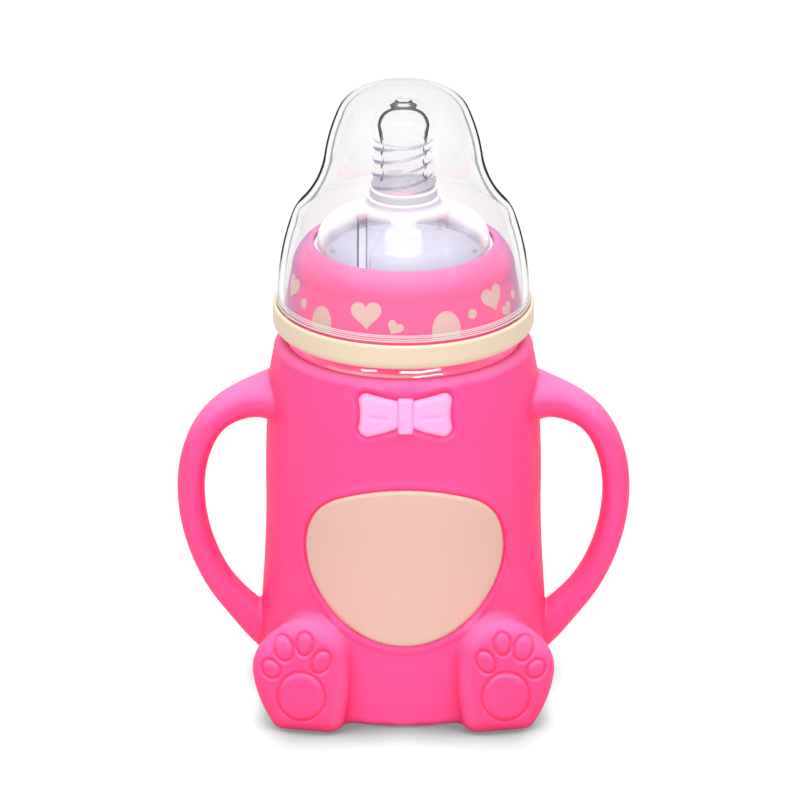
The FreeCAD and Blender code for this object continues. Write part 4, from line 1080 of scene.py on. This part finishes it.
# ---------------------------------------------------------------------------
# Inlays on the sleeve's front: belly patch, bow and knot
# ---------------------------------------------------------------------------
def on_front(x, z, height):
    """Points at a height above the sleeve's front wall."""
    radius = wall_radius(z) + height
    y = -np.sqrt(np.maximum(radius ** 2 - x ** 2, 1.0))
    return np.stack([x, y, z], 1)


def rolled(inset, width):
    """Quarter-round rise from 0 at the outline to 1 at the given width."""
    return np.sqrt(np.clip(1 - (1 - np.clip(inset / width, 0, 1)) ** 2, 0, 1))


def inlay(name, outline, centre, crown, back, rings):
    """Solid over a star-shaped outline.  crown(x, z, inset) is its height over
    the sleeve's wall, inset the distance in from the outline."""
    fractions = np.concatenate([np.sqrt(np.linspace(0.02, 1, rings - 1)) * 0.94,
                                [0.955, 0.97, 0.98, 0.99, 0.996, 1.0]])
    flat = fill_rings(outline, np.asarray(centre, float), fractions)
    x, z = flat[:, 0], flat[:, 1]
    inset = -signed_distance(outline, x, z)
    inset[-len(outline):] = 0.0
    return double_skin(name, on_front(x, z, crown(x, z, inset)), on_front(x, z, back),
                       len(outline), len(fractions), sharp=45.0, opposed=True)


def belly_crown(x, z, inset):
    """Softly crowned, its rim rolled down."""
    return -0.75 + 1.05 * rolled(inset, 1.3) + 0.10 * ease(inset, 1.0, 14.0)


def bow_crown(x, z, inset):
    """Two puffed wings, each with a soft fold, pinched at the middle."""
    aside = np.abs(x - 0.4)
    fold = 0.30 * bell(z - 83.7, 0.55) * ease(aside, 3.6, 5.6) * (1 - ease(aside, 8.2, 10.4))
    pinch = 0.35 * (1 - ease(aside, 1.5, 5.0))
    return -0.55 + 1.45 * rolled(inset, 1.5) - fold - pinch


def knot_crown(x, z, inset):
    pleat = 0.10 * np.cos((x - 0.4) / 0.68 * math.pi) * ease(inset, 0.3, 0.9)
    return 0.05 + 1.45 * rolled(inset, 0.8) + pleat


KNOT = chain([
    (1.3, 79.65, 0.75, 1), (2.05, 80.4), (2.05, 88.05, 0.75, 1), (1.3, 88.8),
    (-1.3, 88.8, 0.75, 1), (-2.05, 88.05), (-2.05, 80.4, 0.75, 1), (-1.3, 79.65)],
    0.25) + [0.5, 0]

belly_patch = inlay("belly_patch_inlay", BELLY, (0.3, 43.5), belly_crown, back=-1.22, rings=30)
dress(belly_patch, PEACH, "sleeve", "belly_patch", slot="belly_silicone")
bow_wings = inlay("bow_wings", BOW_OUTLINE, (0.4, 84.4), bow_crown, back=-1.18, rings=34)
dress(bow_wings, BOW, "sleeve", "bow_tie", slot="bow_silicone")
bow_knot = inlay("bow_knot", KNOT, (0.4, 84.3), knot_crown, back=-0.9, rings=22)
dress(bow_knot, BOW, "sleeve", slot="bow_silicone")


# ---------------------------------------------------------------------------
# Glass bottle with its thread ridge
# ---------------------------------------------------------------------------
def thread_ridge(angle, z, z_start):
    """Height of a helical ridge that starts at angle 0 and climbs."""
    out = np.zeros(angle.shape)
    for k in range(int(THREAD_TURNS) + 1):
        phi = angle + TAU * k
        end = TAU * THREAD_TURNS
        present = ease(phi, 0.0, 0.25) * (1 - ease(phi, end - 0.25, end))
        offset = np.abs(z - (z_start + THREAD_PITCH * phi / TAU))
        shape = np.clip((THREAD_ROOT - offset) / (THREAD_ROOT - THREAD_CREST), 0, 1)
        out = np.maximum(out, THREAD_RISE * present * shape)
    return out


def glass_warp(radius, z, angle):
    ridge = thread_ridge(angle, z, THREAD_Z) * (z > 102)
    return np.where(radius > 24.0, radius + ridge, radius), z


glass_profile = chain([
    (0, 3.95), (16.0, 3.95), (19.0, 3.05), (24.8, 3.05, 4.2, 1), (BOTTLE_R, 7.25),
    (BOTTLE_R, 91.4, 5.2, 1), (24.6, 96.9), (24.6, 113.4, 0.6, 1), (24.0, 114.0),
    (22.2, 114.0, 0.6, 1), (21.6, 113.4), (21.6, 95.6, 6.2, -1), (26.3, 90.2),
    (26.3, 10.05, 3.0, -1), (23.3, 7.05), (0, 7.05)], 1.2)
glass_profile = densify(glass_profile, 88.0, 98.5, 0.4)
glass_profile = densify(glass_profile, 102.2, 110.6, 0.16, r_min=24.0)
glass = lathe("glass_bottle_body", glass_profile, 160, glass_warp)
dress(glass, GLASS, "bottle", "glass_bottle", slot="bottle_glass")

# Fine printed measuring ticks on the glass, front left, under the sleeve
TICK_START = -math.pi / 2 - 0.30    # angle of their left ends
TICK_LONG, TICK_SHORT = 3.2, 1.9    # half lengths, taking turns
TICK_COLUMNS = 9


def measuring_ticks():
    verts, faces = [], []
    for k, z in enumerate(np.arange(20.0, 84.1, 4.0)):
        half = TICK_LONG if k % 2 == 0 else TICK_SHORT
        base = len(verts)
        for lift in (0.02, 0.07):
            radius = BOTTLE_R + lift
            for row in (-0.16, 0.16):
                for c in range(TICK_COLUMNS):
                    angle = TICK_START + 2 * half * c / (TICK_COLUMNS - 1) / BOTTLE_R
                    verts.append((radius * math.cos(angle), radius * math.sin(angle), z + row))

        # vertex rows of this tick: inner low, inner high, outer low, outer high
        in_low, in_high, out_low, out_high = (
            range(base + row * TICK_COLUMNS, base + (row + 1) * TICK_COLUMNS) for row in range(4))
        for c in range(TICK_COLUMNS - 1):
            d = c + 1
            faces += [(out_low[c], out_low[d], out_high[d], out_high[c]),
                      (in_low[d], in_low[c], in_high[c], in_high[d]),
                      (in_low[c], in_low[d], out_low[d], out_low[c]),
                      (in_high[d], in_high[c], out_high[c], out_high[d])]
        faces += [(in_low[0], out_low[0], out_high[0], in_high[0]),
                  (out_low[-1], in_low[-1], in_high[-1], out_high[-1])]
    return make_object("measuring_ticks", verts, faces, sharp=30)


dress(measuring_ticks(), TICKS, "bottle", slot="white_plastic")


# ---------------------------------------------------------------------------
# Nipple: mound, stepped root, stem with a triple spiral and a bulb
# ---------------------------------------------------------------------------
VENT_ANGLE = -math.pi / 2 - 0.49    # front left


def nipple_warp(radius, z, angle):
    stem = ease(z, 134.6, 135.6) * (1 - ease(z, 146.2, 147.2))
    phase = np.cos(TAU * z / STEM_PITCH - 3 * angle)
    band = np.clip(0.5 + 0.5 * phase, 0, 1) ** 1.6
    bump = np.where(radius > 6.9, 0.66 * band - 0.12, 0.0)
    near = (z > 133) & (z < 148.5)
    warped = np.where(near, radius + stem * bump, radius)
    # moulded vent rib inside the mound's wall
    offset = np.abs((angle - VENT_ANGLE + math.pi) % TAU - math.pi)
    wall = (z < 126.5) & (z > 116.6) & (radius < 20.3) & (radius > 8)
    rib = ease(1.05 - offset * 19.5, 0.0, 0.45)
    warped = np.where(wall, warped - 0.95 * rib * (1 - ease(z, 124.0, 126.5)), warped)
    return warped, z


def mark_inside(mesh):
    """Second material slot on the faces that line the hollow."""
    for face in mesh.polygons:
        centre, normal = face.center, face.normal
        radius, z = math.hypot(centre.x, centre.y) / MM, centre.z / MM
        outward = (normal.x * centre.x + normal.y * centre.y) / max(radius * MM, 1e-6)
        lining = 116.3 < z < 154.0 and outward < -0.02
        ceiling = 126.0 < z < 155.75 and radius < 7.0 and normal.z < -0.2 and outward < 0.05
        if lining or ceiling:
            face.material_index = 1


nipple_profile = chain([
    (20.0, 116.2), (24.0, 116.2), (24.0, 117.9, 0.3, 1), (23.7, 118.2), (22.3, 118.2),
    (22.0, 118.5), (22.0, 119.5, 6.05, 1), (18.72, 124.88), (10.63, 129.09, 2.49, -1),
    (9.3, 131.3, 0.4, 1), (8.9, 131.7), (8.7, 131.8), (8.6, 133.7, 0.4, 1), (8.25, 134.1),
    (8.1, 134.3), (7.4, 142.2), (7.4, 146.2, 17.4, 1), (8.1, 150.2, 6.5, 1),
    (3.0, 156.5, 0.9, 1), (2.35, 156.55), (1.2, 156.1), (0, 156.05),
    (0, 155.6), (1.2, 155.55, 5.5, -1), (6.2, 150.3), (5.5, 146.4), (5.5, 136.0),
    (6.9, 131.0), (8.4, 127.6), (17.2, 123.2, 5.0, -1), (20.0, 119.3)], 0.7)
nipple_profile = densify(nipple_profile, 132.5, 148.5, 0.22)
nipple_profile = densify(nipple_profile, 148.0, 157.6, 0.45)
nipple = lathe("nipple_teat", nipple_profile, 176, nipple_warp, sharp=50)
dress(nipple, TEAT, "nipple_unit", "nipple", slot="clear_silicone")
nipple.data.materials.append(TEAT_INSIDE)
mark_inside(nipple.data)

gasket = lathe("adapter_gasket_ring", chain([
    (21.4, 114.0), (24.0, 114.0), (24.0, 114.8), (21.4, 114.8)], 0.4), 128, sharp=30)
dress(gasket, STRAW, "nipple_unit", "adapter_gasket", slot="clear_silicone")

# The CAD adapter, weight halves and steel keep their shapes and get materials.
for node, material in (("straw_adapter", WHITE), ("weight_cap", WHITE),
                       ("weight_cage", WHITE), ("steel_weight", STEEL)):
    paint(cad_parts[node], material)

tube_profile = chain([(2.0, 25.85), (3.0, 25.85), (3.0, 112.9), (2.0, 112.9)], 1.5)
tube = lathe("straw_tube_wall", densify(tube_profile, 26, 112, 1.4), 48, sharp=40)
tube.data.materials.append(STRAW)
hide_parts("straw_tube")
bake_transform(tube)


# ---------------------------------------------------------------------------
# Screw collar, its print and the cream ring
# ---------------------------------------------------------------------------
COLLAR_SIDE = [(30.1, 99.95), (29.98, 104.0, 60.0, 1), (28.5, 112.3, 8.4, 1)]
COLLAR_TOP = (24.3, 119.55)
COLLAR_THREAD_DROP = 1.68       # its thread sits this far under the neck's

collar_profile = chain([
    (26.2, 97.6), (30.6, 97.6), (30.6, 99.95), *COLLAR_SIDE,
    (*COLLAR_TOP, 1.2, 1), (23.0, 119.4), (23.0, 118.25),
    (24.15, 118.25), (24.15, 114.9), (24.75, 114.3), (24.75, 113.2), (26.2, 111.6)], 0.7)
collar_profile = densify(collar_profile, 112.0, 120.5, 0.35)
collar_profile = densify(collar_profile, 100.0, 110.0, 0.16)
collar_line = chain([*COLLAR_SIDE, COLLAR_TOP, (0, 119.55), (0, 99.95)], 0.2)
collar_line = collar_line[(collar_line[:, 0] > 24.2) & (collar_line[:, 1] > 99.96)
                          & (collar_line[:, 1] < 119.5)]


def collar_radius(z):
    return np.interp(z, collar_line[:, 1], collar_line[:, 0])


def collar_warp(radius, z, angle):
    inner = (radius < 26.5) & (z > 98.0) & (z < 111.0)
    ridge = thread_ridge(angle, z, THREAD_Z - COLLAR_THREAD_DROP)
    return np.where(inner, radius - ridge, radius), z


collar = lathe("screw_collar_shell", collar_profile, 144, collar_warp, sharp=40)
dress(collar, COLLAR, "collar", "screw_collar", slot="collar_plastic")


def heart(size, lean):
    t = np.linspace(0, TAU, 60, endpoint=False)
    x = 16 * np.sin(t) ** 3
    y = 13 * np.cos(t) - 5 * np.cos(2 * t) - 2 * np.cos(3 * t) - np.cos(4 * t)
    x, y = x / 32.0 * size, (y + 2.5) / 32.0 * size
    cos, sin = math.cos(math.radians(lean)), math.sin(math.radians(lean))
    return np.stack([x * cos - y * sin, x * sin + y * cos], 1)[::-1]


def arch(width, height):
    t = np.linspace(0, math.pi, 26)
    half, hip, foot = width / 2, -height * 0.2, -height * 0.45
    top = np.stack([np.cos(t) * width / 2, np.sin(t) * height * 0.75], 1)
    base = np.stack([np.linspace(-half, half, 14)[1:-1], np.full(12, foot)], 1)
    return np.concatenate([top, [(-half, hip), (-half, foot)], base, [(half, foot), (half, hip)]])


def dot(size):
    t = np.linspace(0, TAU, 30, endpoint=False)
    return np.stack([np.cos(t), np.sin(t)], 1) * size / 2


def collar_print(name, outline, degrees, z_centre):
    """Thin printed film on the collar, at an angle from the front towards +x."""
    fractions = (0.25, 0.5, 0.75, 1.0)
    flat = fill_rings(outline, np.zeros(2), fractions)
    z = z_centre + flat[:, 1] * 0.96
    angle = math.radians(degrees) + flat[:, 0] / collar_radius(z_centre)
    front, back = (
        np.stack([radius * np.sin(angle), -radius * np.cos(angle), z], 1)
        for radius in (collar_radius(z) + 0.06, collar_radius(z)))
    film = double_skin(name, front, back, len(outline), len(fractions), sharp=40)
    dress(film, PRINT, "collar", slot="cream_plastic")


# outline (sizes in mm, lean in degrees), angle in degrees, centre height
PRINTS = [
    (heart(8.2, 6), -18.8, 109.0), (heart(4.2, -28), -4.4, 106.4), (arch(6.4, 6.0), -43.6, 105.0),
    (arch(7.6, 6.6), 21.3, 105.4), (dot(2.6), 36.0, 108.2), (heart(7.6, 8), 50.5, 110.2),
    (dot(2.4), 69.0, 108.6), (heart(4.2, 20), 60.5, 105.9), (dot(2.6), -58.0, 108.0),
    (heart(7.0, -8), -72.0, 109.8), (arch(6.4, 6.0), 88.0, 105.0), (arch(6.4, 6.0), -92.0, 105.0),
    (heart(8.0, 6), 112.0, 109.2), (heart(4.2, -25), 127.0, 106.4), (arch(7.2, 6.4), 150.0, 105.2),
    (dot(2.6), 166.0, 108.2), (heart(8.0, -6), 181.0, 109.4), (dot(2.6), 197.0, 108.2),
    (arch(6.6, 6.2), 214.0, 105.2), (heart(4.2, 25), 230.0, 106.4), (heart(7.6, 6), 246.0, 109.4)]
for k, (outline, degrees, z_centre) in enumerate(PRINTS):
    collar_print("collar_print_%02d" % k, outline, degrees, z_centre)

ring_profile = chain([
    (31.3, 96.0, 2.3, 1), (33.4, 98.3), (33.4, 102.3, 0.6, 1), (33.05, 102.8), (32.58, 102.8),
    (32.58, 100.4), (30.2, 100.4), (30.2, 100.0), (30.65, 100.0), (30.65, 97.2)], 0.4)
base_ring = lathe("collar_base_ring_band", ring_profile, 192, sharp=40)
dress(base_ring, CREAM, "collar", "collar_base_ring", slot="cream_plastic")

# ---------------------------------------------------------------------------
# Dome
# ---------------------------------------------------------------------------
dome_profile = chain([
    (30.7, 100.45), (32.2, 100.45, 0.3, 1), (32.5, 100.75), (32.5, 103.4, 0.3, 1), (32.3, 103.7),
    (32.22, 104.4, 63.77, 1), (28.68, 125.53, 7.85, 1), (27.01, 128.30, 26.41, -1),
    (20.20, 142.51, 45.6, 1), (16.80, 154.35, 8.9, 1), (10.37, 159.50, 54.3, 1), (0, 160.5),
    (0, 159.0, 52.4, -1), (10.09, 158.02, 7.4, -1), (15.43, 153.75, 44.1, -1),
    (18.72, 142.30, 27.91, 1), (25.91, 127.28, 6.35, -1), (27.26, 125.04, 62.27, -1),
    (30.7, 104.8)], 0.6)
dome = lathe("dome_cap_shell", dome_profile, 208, sharp=50)
dress(dome, DOME, "cap", "dome_cap", slot="clear_plastic")


# ---------------------------------------------------------------------------
# Stage, lights and camera
# ---------------------------------------------------------------------------
def floor_material():
    """Glowing white floor with shade where the product stands close: soft
    and wide within a strip along y, tight elsewhere."""
    net = new_graph("StageFloor")
    wide, close = (
        net.node("AmbientOcclusion", {"Distance": reach}, samples=8).outputs["AO"]
        for reach in (0.017, 0.006))
    x, y, _ = net.xyz()
    strip = net.mul(net.fall(net.size(x), span=(0.029, 0.0375)),
                    net.fall(y, span=(-0.040, -0.033)))
    soft = net.ramp(wide, span=(0.42, 0.98), to=(0.24, 1.03))
    tight = net.ramp(close, span=(0.35, 0.95), to=(0.55, 1.03))
    level = net.plus(net.mul(soft, strip), net.mul(tight, net.inverse(strip)))
    white = net.mix(net.noise(scale=3.0), (1, 1, 1), (0.997, 0.997, 0.997))
    net.finish(net.node("AddShader", {
        0: net.diffuse((0.02, 0.02, 0.02)), 1: net.emission(white, level)}).outputs[0])
    net.no_light()
    return net.owner


def build_floor(half=4.5, behind=1.5):
    mesh = bpy.data.meshes.new("stage_floor")
    mesh.from_pydata([(-half, -half, 0), (half, -half, 0), (half, half, 0), (-half, half, 0)],
                     [], [(0, 1, 2, 3)])
    floor = link_object("stage_floor", mesh)
    floor.location = (0, behind, 0)
    mesh.materials.append(floor_material())


def area(name, size, energy, location):
    """Rectangular light aimed at the middle of the bottle."""
    light = bpy.data.lights.new(name, "AREA")
    light.shape = "RECTANGLE"
    light.size, light.size_y = size
    light.energy = energy
    ob = link_object(name, light)
    ob.location = location
    aim = Vector((0, 0, 0.08)) - Vector(location)
    ob.rotation_euler = aim.to_track_quat("-Z", "Y").to_euler()
    return ob


def build_world():
    """White surroundings that dim to the sides; the backdrop itself looks as
    pale as the floor, also through the clear parts."""
    world = bpy.data.worlds.new("Studio")
    scene.world = world
    world.use_nodes = True
    net = Graph(world)
    side = net.size(net.split(net.node("TexCoord").outputs["Generated"])[0])
    fade = net.ramp(side, span=(0.72, 0.96), to=(0.75, 0.25))
    path = net.node("LightPath").outputs
    seen = net.most(path["Is Camera Ray"], path["Is Transmission Ray"])
    # float sockets of the mix node: 0 factor, 2 and 3 the values
    strength = net.node("Mix", {0: seen, 2: fade, 3: 1.02}).outputs[0]
    background = net.find("Background")
    net.feed(background.inputs["Color"], (1, 1, 1))
    net.feed(background.inputs["Strength"], strength)


def build_camera(distance=4.0, elevation=math.radians(21.0)):
    data = bpy.data.cameras.new("Camera")
    camera = link_object("Camera", data)
    data.sensor_width = 36.0
    data.lens = 702.0
    data.clip_end = 50.0
    aim = Vector((-0.9 * MM, 0.0, 75.55 * MM))
    camera.location = aim + distance * Vector((0, -math.cos(elevation), math.sin(elevation)))
    camera.rotation_euler = (math.radians(90) - elevation, 0, 0)
    scene.camera = camera


build_floor()
for soft_light in (
        area("key_top", size=(1.5, 1.2), energy=23.0, location=(0.0, -0.10, 1.45)),
        area("front_soft", size=(1.5, 1.1), energy=9.0, location=(0.0, -1.55, 0.70))):
    soft_light.visible_glossy = False
    soft_light.visible_transmission = False
area("left_strip", size=(0.25, 0.9), energy=0.5, location=(-1.05, -0.95, 0.60))
area("right_strip", size=(0.25, 0.9), energy=0.5, location=(1.05, -0.95, 0.60))
area("glint_left", size=(0.16, 0.06), energy=0.5, location=(-0.22, -0.50, 1.20))
area("glint_right", size=(0.30, 0.06), energy=0.9, location=(0.10, -0.50, 1.20))
build_world()
scene.view_settings.view_transform = "Standard"
scene.view_settings.look = "None"
scene.view_settings.exposure = 0.0
build_camera()
